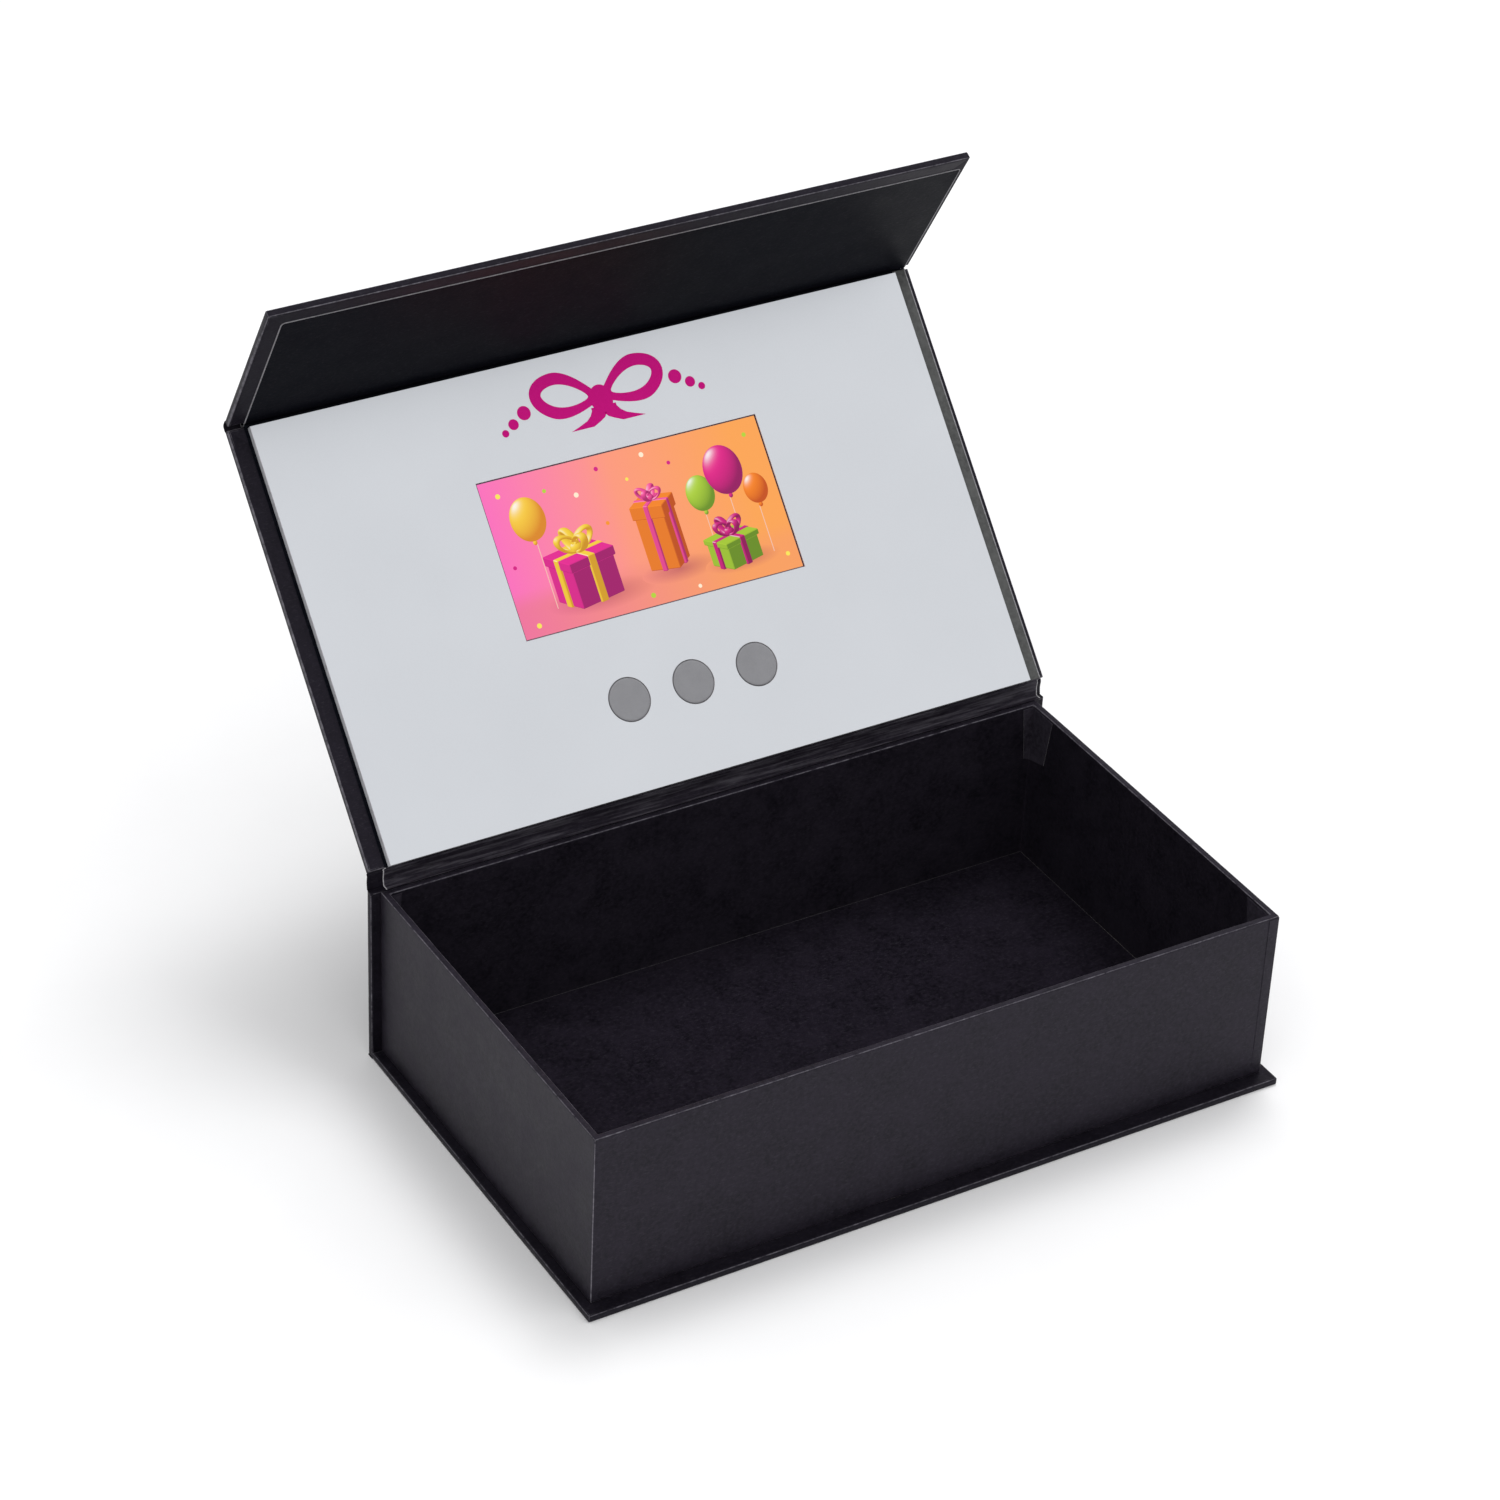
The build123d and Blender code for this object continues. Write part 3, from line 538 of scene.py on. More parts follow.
def joined(parts, name):
    """Join shapes to one piece."""
    take(parts[0])
    for part in parts:
        part.select_set(True)
    bpy.ops.object.join()
    piece = bpy.context.object
    piece.name = name
    return piece


def mottled(
    name, patches, first, second, gloss, relief=0.0, metallic=0.0, specular=0.5,
    share=(0.0, 1.0, 0.0, 1.0), drawn=(1.0, 1.0, 1.0)
):
    """A finish in two tones of soft patches, which may also carry its gloss and a fine relief."""
    material, tree, surface, place = start_finish(name, gloss[0], metallic, specular)
    pattern = speckle(tree, mapped(tree, place, Scale=drawn), *patches)
    coat(tree, surface, mix(tree, level(tree, pattern, *share), first, second))
    if gloss[1] > gloss[0]:
        polish(tree, surface, pattern, *gloss)
    if relief:
        roughen(tree, surface, pattern, relief)
    return material


def cut_core(name, colour, dark):
    """The bare core of a sheet where a knife cut it: fuzzy, a little dirty."""
    return mottled(
        name, (0.9 * mm, 4.0, 0.7), colour, dark, (0.9, 0.9), 0.05 * mm, specular=0.2,
        share=(0.3, 0.7, 0.0, 1.0)
    )


inner = Vector((high.x - wall - 0.25 * mm, high.y - wall - 0.25 * mm, high.z - 0.9 * mm))
tray_middle = (low.y + high.y) / 2
tab_copies = []
for side, end in ((1, 1), (-1, 1), (1, -1), (-1, -1)):
    tab = copy_of(first_tab)
    corner = Vector((side * inner.x, tray_middle + end * (inner.y - tray_middle), inner.z))
    settle(tab, Matrix.Translation(corner) @ Matrix.Diagonal((side, end, 1, 1)))
    if side * end < 0:
        turn_over(tab)
    tab_copies.append(tab)
bpy.data.objects.remove(first_tab)
corner_tabs = joined(tab_copies, "corner_tabs")
thicken(corner_tabs, 0.15 * mm)
tab_paper = black_paper(
    "tab_paper", tone(38, 35, 43), tone(68, 64, 74), tone(92, 90, 97), 0.0, 0.5, 0.12
)
set_down(corner_tabs, "tray", tab_paper)
corner_tabs.data.materials.append(cut_core("tab_core", tone(150, 148, 153), tone(104, 102, 107)))
for face in corner_tabs.data.polygons:
    if face.area < 4 * mm * mm and abs(face.normal.z) < 0.5:
        face.material_index = 1


# Seam of the tray's paper. The sheet's end comes round the front right corner and is pasted 4 mm
# over the front wall, where its cut edge stands up by the paper's thickness.
low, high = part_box("tray_wrap")
seam_plane = Matrix(((0, 1, 0, 0), (0, 0, -1, 0), (-1, 0, 0, 0), (0, 0, 0, 1)))
seam_plane.translation = (high.x, low.y, (low.z + high.z) / 2)
seam_lap = 4 * mm
seam_points = [
    Vector((0, -seam_lap, 0.1 * mm)),
    Vector((0, 0.1 * mm, 0.1 * mm)),
    Vector((0, 0.1 * mm, -2.5 * mm)),
]
wrap_seam = folded_strip(
    "wrap_seam", high.z - low.z - 1.6 * mm, seam_points, 0.5 * mm, Vector((0, 0.7, 0.7)),
    sheet=0.12 * mm
)
set_down(wrap_seam, "tray", wall_paper, seam_plane)


# Floor sheet. A loose sheet of thick black paper lies on the tray's floor, cut a little small, so
# its edge catches the light beside the walls.
def upright(part):
    """Tell whether an edge stands on end."""
    return abs(part.verts[0].co.z - part.verts[1].co.z) > 1e-6


def cut_sheet(name, low, high, edge, hidden, corner=0):
    """A knife-cut sheet. Its bare edges are the second finish, except those that a test hides.
    The two corners at its far side may be cut round."""
    piece = start_board(name, low, high)
    open_mesh()
    if corner:
        pick(piece, "EDGE", lambda part: middle(part).y > high[1] - 1e-6 and upright(part))
        bpy.ops.mesh.bevel(offset=corner, segments=4, affect="EDGES")
    pick(piece, "FACE", lambda part: part.normal.z > 0.99)
    bpy.ops.mesh.inset(thickness=edge)
    close_mesh()
    upper = [face for face in piece.data.polygons if face.normal.z > 0.99]
    sheet = max(upper, key=lambda face: face.area)
    for face in piece.data.polygons:
        if face != sheet and face.normal.z > -0.5 and not hidden(face.center):
            face.material_index = 1
    return piece


floor_paper = black_paper(
    "floor_paper", tone(15, 13, 19), tone(35, 31, 40), tone(64, 62, 66), 0.4, 0.7, 0.03
)
floor_core = cut_core("floor_core", tone(92, 90, 94), tone(62, 60, 64))
low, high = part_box("floor_liner")
floor_sheet = cut_sheet("floor_sheet", low, high, 0.12 * mm, lambda place: False)
set_down(floor_sheet, "tray", floor_paper)
floor_sheet.data.materials.append(floor_core)
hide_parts("floor_liner")


# Lid board. Grey board like the base's, with a shallow recess cut under the player. It is the
# stiff core of the lid, glued into the black paper.
dress("lid_board", greyboard)


# Wrap of the lid, from the hinge to the flap's crease. It is turned in at both ends like the
# base's, and its outer face runs straight on into both hinges. The player's recess is cut into it.
joints = {joint["name"]: joint for joint in frame["joints"]}
lid_hinge = Vector(joints["lid_hinge"]["pos_m"])
flap_hinge = Vector(joints["flap_hinge"]["pos_m"])
lid_along = (flap_hinge - lid_hinge).normalized()
lid_inward = Vector((1, 0, 0)).cross(lid_along)
lid_plane = Matrix((Vector((1, 0, 0)), lid_along, lid_inward)).transposed().to_4x4()
lid_plane.translation = lid_hinge


def spread(node, plane):
    """The lowest and highest corners of a CAD piece, measured on a leaning plane."""
    level_out = plane.inverted()
    points = [level_out @ point.co for point in frame["nodes"][node].data.vertices]
    lowest = Vector([min(point[axis] for point in points) for axis in range(3)])
    highest = Vector([max(point[axis] for point in points) for axis in range(3)])
    return lowest, highest


low, high = spread("lid_wrap", lid_plane)


def lid_flush(place):
    """Tell whether a place is where the lid's paper runs on into a hinge."""
    return place.z < high.z - 1e-5 and (place.y < low.y + 1e-5 or place.y > high.y - 1e-5)


def cut_away(piece, cutter):
    """Cut a shape out of a piece."""
    hole = piece.modifiers.new("hole", "BOOLEAN")
    hole.operation = "DIFFERENCE"
    hole.solver = "EXACT"
    hole.object = cutter
    bpy.context.view_layer.objects.active = piece
    bpy.ops.object.modifier_apply(modifier="hole")


lid_paper = wrapped_board("lid_paper", low, high, lid_flush, 0.95)
recess_low = (-123.3 * mm, 19.2 * mm, 2.2 * mm)
recess_high = (124.2 * mm, 133.5 * mm, 3.2 * mm)
recess = start_board("recess", recess_low, recess_high)
cut_away(lid_paper, recess)
set_down(lid_paper, "lid", case_paper, lid_plane)
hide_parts("lid_wrap")


# Lining of the lid. A sheet of smoother black paper pasted inside the lid, under the player. It
# lies nearer to the right edge than the left, and its right margin beside the player is a paler grey.
lining_paper = black_paper(
    "lining_paper", tone(8, 8, 14), tone(13, 13, 20), tone(84, 83, 88), 0.3, 0.46, 0.038,
    cast=(0.58, 0.78, 1.0, 1.0),
)
lining_core = cut_core("lining_core", tone(158, 157, 161), tone(112, 111, 115))
low, high = spread("lid_liner", lid_plane)
to_right = 4.3 * mm
high.x += to_right
lining_edge = high.x - 0.4 * mm
grey_from = spread("facing_card", lid_plane)[1].x + 0.3 * mm
lid_lining = cut_sheet("lid_lining", low, high, 0.35 * mm, lambda place: place.x < lining_edge)
cut_away(lid_lining, recess)
bpy.data.objects.remove(recess)
open_mesh()
score(0, [grey_from])
close_mesh()
set_down(lid_lining, "lid", lining_paper, lid_plane)
lid_lining.data.materials.append(lining_core)
# The lining's margin right of the player takes a paler grey paper finish.
grey_margin = black_paper(
    "grey_margin", tone(64, 65, 64), tone(94, 95, 94), tone(120, 121, 120), 0.0, 0.55, 0.1
)
lid_lining.data.materials.append(grey_margin)
for face in lid_lining.data.polygons:
    if face.center.x > lining_edge:
        face.material_index = 1
    elif face.center.x > grey_from:
        face.material_index = 2
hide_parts("lid_liner")


# Spacer. Two sheets of grey board laid side by side, with a cut-out for each part of the player.
# Its silver-grey painted edge shows all round the player.
spacer_board, tree, surface, place = start_finish("spacer_board", 0.75, specular=0.3)
streaks = mapped(tree, place, Scale=(1.0, 6.0, 6.0))
plies = speckle(tree, streaks, 5 * mm, 5.0, 0.7)
grime = speckle(tree, place, 2 * mm, 4.0, 0.6)
edge_tone = mix(tree, plies, tone(206, 207, 212), tone(158, 159, 164))
edge_tone = mix(tree, level(tree, grime, 0.5, 0.7, 0.0, 0.5), edge_tone, tone(120, 120, 125))
coat(tree, surface, edge_tone)
roughen(tree, surface, plies, 0.08 * mm)
dress("module_spacer", spacer_board)


# Battery. A flat lithium pouch in crimped aluminium foil, dull silver with soft creases. It lies
# in a cut-out of the spacer, and a pad of tape holds it.
foil = mottled(
    "battery_foil", (9 * mm, 6.0, 0.55), tone(196, 198, 202), tone(150, 152, 157), (0.26, 0.46),
    0.4 * mm, metallic=0.9
)
dress("battery", foil)


# Speaker. A thin moulded black frame round a paper cone pressed with rings. It is taped down in a
# cut-out of the spacer, like the battery.
def moulded(name, colour, lighter, roughness, grain):
    """Moulded plastic with a fine spark-eroded grain."""
    material, tree, surface, place = start_finish(name, roughness, specular=0.45)
    pits = speckle(tree, place, grain, 3.0, 0.6)
    flow = speckle(tree, place, 12 * mm, 3.0, 0.5)
    shade = mix(tree, flow, colour, lighter)
    shade = mix(tree, level(tree, pits, 0.35, 0.65, 0.0, 0.25), shade, lighter)
    coat(tree, surface, shade)
    polish(tree, surface, pits, roughness - 0.07, roughness + 0.09)
    roughen(tree, surface, pits, 0.03 * mm, 0.6)
    return material


black_plastic = moulded("black_plastic", tone(26, 26, 28), tone(40, 40, 42), 0.5, 0.25 * mm)
dress("speaker", black_plastic)
low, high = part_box("speaker_cone")
cone_paper, tree, surface, place = start_finish("cone_paper", 0.85, specular=0.2)
to_lid = lid_plane.to_3x3().inverted()
cone_middle = to_lid @ ((low + high) / 2)
turned = mapped(tree, place, Location=-cone_middle, Rotation=to_lid.to_euler())
rings = add(
    tree, "TexWave", {"Vector": turned, "Scale": 160.0}, wave_type="RINGS", rings_direction="Z"
)
pulp = speckle(tree, place, 0.7 * mm, 4.0, 0.6)
cone_tone = mix(tree, level(tree, pulp, 0.3, 0.7, 0.0, 1.0), tone(44, 42, 40), tone(72, 69, 64))
coat(tree, surface, cone_tone)
roughen(tree, surface, mix(tree, 0.3, rings.outputs["Fac"], pulp), 0.3 * mm)
dress("speaker_cone", cone_paper)


# Circuit boards. Glass-fibre laminate under green lacquer, with copper tracks showing through as
# a lighter web and tinned pads.
circuit, tree, surface, place = start_finish("circuit_board", 0.38, specular=0.5)
flat = mapped(tree, place, Rotation=to_lid.to_euler())
cells = add(tree, "TexVoronoi", {"Vector": flat, "Scale": 420.0}, feature="F1", distance="MANHATTAN")
web = cells.outputs["Distance"]
track_edge = level(tree, web, 0.52, 0.58, 0.0, 1.0)
pads = add(tree, "TexVoronoi", {"Vector": flat, "Scale": 260.0, "Randomness": 0.6}, feature="F1")
pad_disc = level(tree, pads.outputs["Distance"], 0.16, 0.12, 0.0, 1.0)
lacquer = mix(tree, speckle(tree, place, 5 * mm), tone(18, 82, 46), tone(12, 62, 36))
lacquer = mix(tree, level(tree, web, 0.3, 0.34, 1.0, 0.0), lacquer, tone(38, 120, 66))
lacquer = mix(tree, pad_disc, lacquer, tone(190, 188, 176))
coat(tree, surface, lacquer)
tree.links.new(level(tree, pad_disc, 0.0, 1.0, 0.42, 0.25), surface.inputs["Roughness"])
roughen(tree, surface, track_edge, 0.04 * mm)
for node in ("main_board", "button_board"):
    dress(node, circuit)


# Chips, the lid sensor and the socket. Black epoxy packages with a fine matte pitting, and a
# charging socket stamped from thin bright steel.
chip_resin = moulded("chip_resin", tone(24, 24, 26), tone(36, 36, 38), 0.62, 0.15 * mm)
for node in ("main_board_chips", "lid_sensor"):
    dress(node, chip_resin)
stamped_steel = bright_metal("stamped_steel", tone(186, 187, 190), tone(140, 141, 144), 0.3)
dress("charging_socket", stamped_steel)


# Switches, connector and the screen's backlight frame. White, black and cream moulded plastics.
# The switches and the connector are soldered to their circuit boards.
white_plastic = moulded("white_plastic", tone(224, 223, 218), tone(236, 235, 231), 0.45, 0.3 * mm)
dress("lcd_backlight", white_plastic)
dress("button_switches", black_plastic)
cream_plastic = moulded("connector_plastic", tone(214, 206, 186), tone(228, 220, 202), 0.5, 0.2 * mm)
dress("display_connector", cream_plastic)


# Tape and pads. Double-sided tape, milky and slightly glossy, with dust along its fibres. The
# pads lie under the player's parts, and the screen is taped to the bottom of the recess.
tape = mottled(
    "sticky_tape", (1.2 * mm, 5.0, 0.7), tone(226, 223, 208), tone(196, 190, 170), (0.25, 0.5),
    0.04 * mm, share=(0.35, 0.7, 0.0, 1.0)
)
for node in ("part_pads", "lcd_tape"):
    dress(node, tape)


# Leads and flat cables. Soft red insulation on the battery's pair and black on the speaker's,
# and amber film over fine copper lines for the screen and the buttons.
def lead_cover(name, colour, lighter):
    """Soft insulation of a thin lead, a little blotchy, with scuffs along it."""
    return mottled(
        name, (1.5 * mm, 4.0, 0.65), colour, lighter, (0.36, 0.5), 0.03 * mm, specular=0.45,
        share=(0.35, 0.7, 0.0, 1.0)
    )


dress("battery_leads", lead_cover("red_lead", tone(170, 24, 26), tone(196, 52, 48)))
dress("speaker_leads", lead_cover("black_lead", tone(24, 24, 26), tone(46, 46, 48)))
ribbon, tree, surface, place = start_finish("ribbon_film", 0.3, specular=0.5)
lines = add(tree, "TexWave", {"Vector": place, "Scale": 260.0}, bands_direction="X")
film = mix(tree, speckle(tree, place, 3 * mm), tone(178, 104, 34), tone(150, 82, 24))
copper = level(tree, lines.outputs["Fac"], 0.45, 0.6, 0.0, 0.7)
coat(tree, surface, mix(tree, copper, film, tone(206, 136, 70)))
roughen(tree, surface, lines.outputs["Fac"], 0.03 * mm)
for node in ("display_ribbon", "button_ribbon"):
    dress(node, ribbon)


# Screen bezel. Thin steel folded round the display's rim, brushed along its length. It holds the
# glass on the backlight.
brushed_steel = mottled(
    "folded_steel", (0.25 * mm, 4.0, 0.7), tone(186, 188, 190), tone(146, 148, 151), (0.28, 0.46),
    0.02 * mm, metallic=1.0, drawn=(0.06, 1.0, 1.0)
)
dress("lcd_bezel", brushed_steel)


# Screen glass. The display's front is a sheet of dark glass with a hair of bevel round it. Its
# unlit border is a dusky mauve.
low, high = spread("lcd_glass", lid_plane)
screen_glass = start_board("screen_glass", low, high)
open_mesh()
bpy.ops.mesh.select_all(action="SELECT")
bpy.ops.mesh.bevel(offset=0.12 * mm, segments=2, affect="EDGES")
close_mesh()
dark_glass = mottled(
    "dark_glass", (8 * mm, 4.0, 0.6), tone(92, 76, 92), tone(74, 62, 78), (0.05, 0.12)
)
set_down(screen_glass, "lid", dark_glass, lid_plane)
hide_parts("lcd_glass")


# Picture on the screen. A made-up still of gift boxes and balloons, before a backdrop that runs
# from pink to orange. It is modelled in the round, painted with its own light and then pressed
# flat on the glass, where it glows as the display does.
picture_light = Vector((-0.5, 0.62, 0.6)).normalized()
picture_tilt = Matrix.Rotation(math.radians(17), 4, "X")
picture_parts = []
picture_width = 108 * mm
picture_height = 55 * mm
picture_middle = 88.4 * mm


def blend_tones(first, second, share):
    """A tone a share of the way from the first to the second."""
    share = min(1.0, max(0.0, share))
    return tuple(a + (b - a) * share for a, b in zip(first, second))


def backdrop(place):
    """The picture's own backdrop, with a warm table across its foot."""
    across = place.x / picture_width + 0.5
    rise = place.y / picture_height + 0.5
    wall_tone = blend_tones(tone(252, 112, 190), tone(254, 152, 132), across * 2.2)
    wall_tone = blend_tones(wall_tone, tone(253, 166, 84), across * 1.9 - 0.7)
    table_tone = blend_tones(tone(240, 116, 158), tone(250, 160, 96), across * 1.3)
    return blend_tones(wall_tone, table_tone, (0.3 - rise) * 9)


def paint(piece, colour, round_shape=False):
    """Paint each corner of a shape in the picture from its place and the way it faces."""
    layer = piece.data.color_attributes.new("glow", "FLOAT_COLOR", "CORNER")
    for face in piece.data.polygons:
        for corner in face.loop_indices:
            point = piece.data.vertices[piece.data.loops[corner].vertex_index]
            normal = point.normal if round_shape else face.normal
            layer.data[corner].color = colour(point.co, normal)
    picture_parts.append(piece)


def lit(base, shade, shine):
    """Light that falls on a shape in the picture from its upper left."""
    def colour(place, normal):
        fall = max(0.0, normal.dot(picture_light))
        return blend_tones(blend_tones(shade, base, 0.15 + fall), (1, 1, 1, 1), shine * fall ** 18)
    return colour


def block(turn, place, size, colour):
    """One block of a gift box in the picture."""
    piece = start(bpy.ops.mesh.primitive_cube_add, Vector(size) * mm, size=1)
    open_mesh()
    bpy.ops.mesh.select_all(action="SELECT")
    bpy.ops.mesh.bevel(offset=0.25 * mm, segments=1, affect="EDGES")
    close_mesh()
    settle(piece, turn @ Matrix.Translation(Vector(place) * mm))
    paint(piece, colour)


def ball(turn, place, size, colour):
    """A balloon or a bow's knot, or a dot of confetti when it is flat."""
    add_sphere = bpy.ops.mesh.primitive_uv_sphere_add
    piece = start(add_sphere, Vector(size) * mm, segments=40, ring_count=24, radius=1)
    settle(piece, turn @ Matrix.Translation(Vector(place) * mm))
    paint(piece, colour, True)


def gift(place, size, turn, base, shade, ribbon, ribbon_shade):
    """A gift box with a lid, a crossed ribbon and a bow."""
    width, height, depth = size
    stand = Matrix.Translation(Vector(place) * mm) @ picture_tilt
    stand = stand @ Matrix.Rotation(math.radians(turn), 4, "Y")
    box_paint = lit(base, shade, 0.0)
    ribbon_paint = lit(ribbon, ribbon_shade, 0.5)
    block(stand, (0, height * 0.4, 0), (width, height * 0.8, depth), box_paint)
    block(stand, (0, height * 0.9, 0), (width + 1.4, height * 0.2, depth + 1.4), box_paint)
    band = width * 0.16
    block(stand, (0, height * 0.5, 0), (band, height + 0.5, depth + 1.9), ribbon_paint)
    block(stand, (0, height * 0.5, 0), (width + 1.9, height + 0.4, band), ribbon_paint)
    loop = width * 0.24
    for side in (-1, 1):
        for reach in (0, 90):
            piece = start(
                bpy.ops.mesh.primitive_torus_add, (1, 0.55, 1.6), major_radius=loop * mm,
                minor_radius=band * 0.34 * mm, major_segments=32, minor_segments=12
            )
            lean = Matrix.Rotation(math.radians(side * 32), 4, "Z")
            swing = Matrix.Rotation(math.radians(reach), 4, "Y")
            shift = Matrix.Translation(Vector((side * loop * 0.9, 0, 0)) * mm)
            rise = Matrix.Translation(Vector((0, height + loop * 0.35, 0)) * mm)
            settle(piece, stand @ rise @ swing @ lean @ shift)
            paint(piece, ribbon_paint, True)
    ball(stand, (0, height + band * 0.5, 0), (band * 0.8, band * 0.7, band * 0.8), ribbon_paint)


def soft_shadow(place, size):
    """A soft shadow on the picture's table, which fades out to the backdrop's own tone."""
    centre = Vector(place) * mm
    reach = (size[0] * mm, size[1] * mm, 1)
    add_disc = bpy.ops.mesh.primitive_circle_add
    piece = start(add_disc, reach, centre, vertices=48, radius=1, fill_type="TRIFAN")

    def colour(point, normal):
        near = abs(point.x - centre.x) < 0.1 * mm and abs(point.y - centre.y) < 0.1 * mm
        ground = backdrop(point)
        return blend_tones(ground, tone(168, 62, 92), 0.62 if near else 0.0)

    paint(piece, colour)


ground = start(
    bpy.ops.mesh.primitive_grid_add,
    (picture_width + 0.2 * mm, picture_height + 0.2 * mm, 1),
    (0, 0, -28 * mm),
    x_subdivisions=40,
    y_subdivisions=24,
    size=1,
)
paint(ground, lambda point, normal: backdrop(point))
soft_shadow((-22, -19.5, -27.5), (21, 5.5))
soft_shadow((9, -17.5, -27.4), (15, 4.5))
soft_shadow((33, -20, -27.3), (15, 4))
for place, size, turn, base, shade, ribbon, ribbon_shade in (
    ((-26, -19, -2), (19, 17, 17), 28, (236, 38, 150), (120, 8, 84), (250, 214, 60), (196, 128, 20)),
    ((6, -15, -8), (12, 24, 12), -24, (250, 138, 36), (178, 62, 14), (250, 80, 160), (150, 18, 90)),
    ((31, -20, 4), (15, 10, 13), 34, (170, 206, 52), (78, 118, 22), (214, 24, 132), (116, 6, 72)),
):
    gift(place, size, turn, tone(*base), tone(*shade), tone(*ribbon), tone(*ribbon_shade))
level_pose = Matrix.Identity(4)
for place, size, base, shade in (
    ((-40, 12, -16), (6.6, 7.8, 6), tone(250, 206, 64), tone(214, 118, 26)),
    ((36, 12, -15), (7.4, 8.8, 6), tone(232, 30, 140), tone(128, 10, 86)),
    ((25, 6, -20), (5.4, 6.4, 4), tone(176, 212, 60), tone(88, 130, 28)),
    ((46, 3, -18), (4.6, 5.4, 4), tone(250, 134, 30), tone(188, 66, 16)),
):
    ball(level_pose, place, size, lit(base, shade, 0.85))
    knot = (place[0], place[1] - size[1] - 0.5, place[2])
    ball(level_pose, knot, (0.8, 0.9, 0.8), lit(base, shade, 0.0))
    tail = (place[0] * 0.985, (place[1] - size[1] - 21) / 2, place[2] - 1)
    length = place[1] - size[1] + 19
    block(level_pose, tail, (0.3, length, 0.3), lit(tone(255, 226, 214), tone(240, 190, 170), 0))
yellow = tone(250, 232, 90)
lime = tone(180, 214, 60)
cream = tone(255, 238, 210)
rose = tone(214, 24, 132)
for across, rise, size, colour in (
    (-48, 22, 0.9, yellow), (-31, 20, 0.7, lime), (-20, 16, 0.9, cream), (-10, 23, 0.8, rose),
    (0, 17, 0.6, yellow), (8, 24, 0.9, cream), (17, 19, 0.7, rose), (48, 22, 0.8, lime),
    (-50, -3, 0.7, rose), (-12, 4, 0.7, tone(250, 150, 40)), (-48, -24, 0.9, yellow),
    (-4, -24, 0.9, lime), (14, -25, 0.7, cream), (50, -22, 0.8, yellow),
):
    ball(level_pose, (across, rise, -24), (size, size, 0.4), lit(colour, colour, 0))
screen_picture = joined(picture_parts, "screen_picture")
glass_front = high.z + 0.15 * mm
picture_press = Matrix.Diagonal((1, 1, 0.004, 1))
picture_press.translation = (0, picture_middle, glass_front)
glow, tree, surface, place = start_finish("picture_glow", 0.16, specular=0.2)
surface.inputs["Base Color"].default_value = (0, 0, 0, 1)
colours = add(tree, "Attribute", {}, attribute_name="glow").outputs["Color"]
flat = mapped(tree, place, Rotation=to_lid.to_euler())
rows = add(tree, "TexWave", {"Vector": flat, "Scale": 900.0}, bands_direction="Y").outputs["Fac"]
dim = level(tree, rows, 0.0, 1.0, 0.95, 1.0)
tree.links.new(mix(tree, 1.0, colours, dim, "MULTIPLY"), surface.inputs["Emission Color"])
surface.inputs["Emission Strength"].default_value = 1.0
set_down(screen_picture, "lid", glow, lid_plane @ picture_press)


# Facing card of the player. Thick card faced with satin silver film, with a window for the screen
# and three round holes for the buttons. The white core shows where it was cut.
low, high = spread("facing_card", lid_plane)
silver_face = start_board("silver_face", low, high)
window_low = (-54.5 * mm, 60.4 * mm, 4 * mm)
window_high = (54.5 * mm, 116.4 * mm, 7 * mm)
key_hole = 7.8 * mm
key_flange = 8.3 * mm
button_rise = 32.2 * mm
button_places = [-24.9 * mm, 0, 24.9 * mm]
actual_size = (1, 1, 1)
add_round = bpy.ops.mesh.primitive_cylinder_add
cutters = [start_board("window", window_low, window_high)]
for across in button_places:
    hole_middle = (across, button_rise, 5 * mm)
    hole = start(add_round, actual_size, hole_middle, vertices=96, radius=key_hole, depth=4 * mm)
    cutters.append(hole)
for cutter in cutters:
    cut_away(silver_face, cutter)
    bpy.data.objects.remove(cutter)
rim = silver_face.modifiers.new("rim", "BEVEL")
rim.width = 0.07 * mm
rim.segments = 2
rim.limit_method = "ANGLE"
rim.angle_limit = math.radians(60)
bpy.ops.object.modifier_apply(modifier="rim")
for face in silver_face.data.polygons:
    face.material_index = 0 if face.normal.z > 0.4 else 1
silver_film, tree, surface, place = start_finish("silver_film", 0.31, 1.0, 0.4)
satin = speckle(tree, place, 0.6 * mm, 3.0, 0.6)
clouding = speckle(tree, place, 45 * mm, 3.0, 0.5)
silver = mix(tree, level(tree, clouding, 0.3, 0.7, 0.0, 1.0), tone(203, 206, 211), tone(200, 203, 208))
silver = mix(tree, level(tree, satin, 0.35, 0.65, 0.0, 0.2), silver, tone(209, 212, 217))
coat(tree, surface, silver)
polish(tree, surface, satin, 0.29, 0.34)
roughen(tree, surface, mix(tree, 0.5, clouding, satin), 0.01 * mm, 0.3)
card_core = cut_core("card_core", tone(236, 228, 230), tone(206, 198, 202))
set_down(silver_face, "lid", silver_film, lid_plane, 10)
silver_face.data.materials.append(card_core)
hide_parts("facing_card")


# Printed ornament. A gift bow with dots beside it, in one magenta ink, screen-printed on the
# facing card over the screen. The ink is thick enough to stand just proud of the film.
ink_parts = []


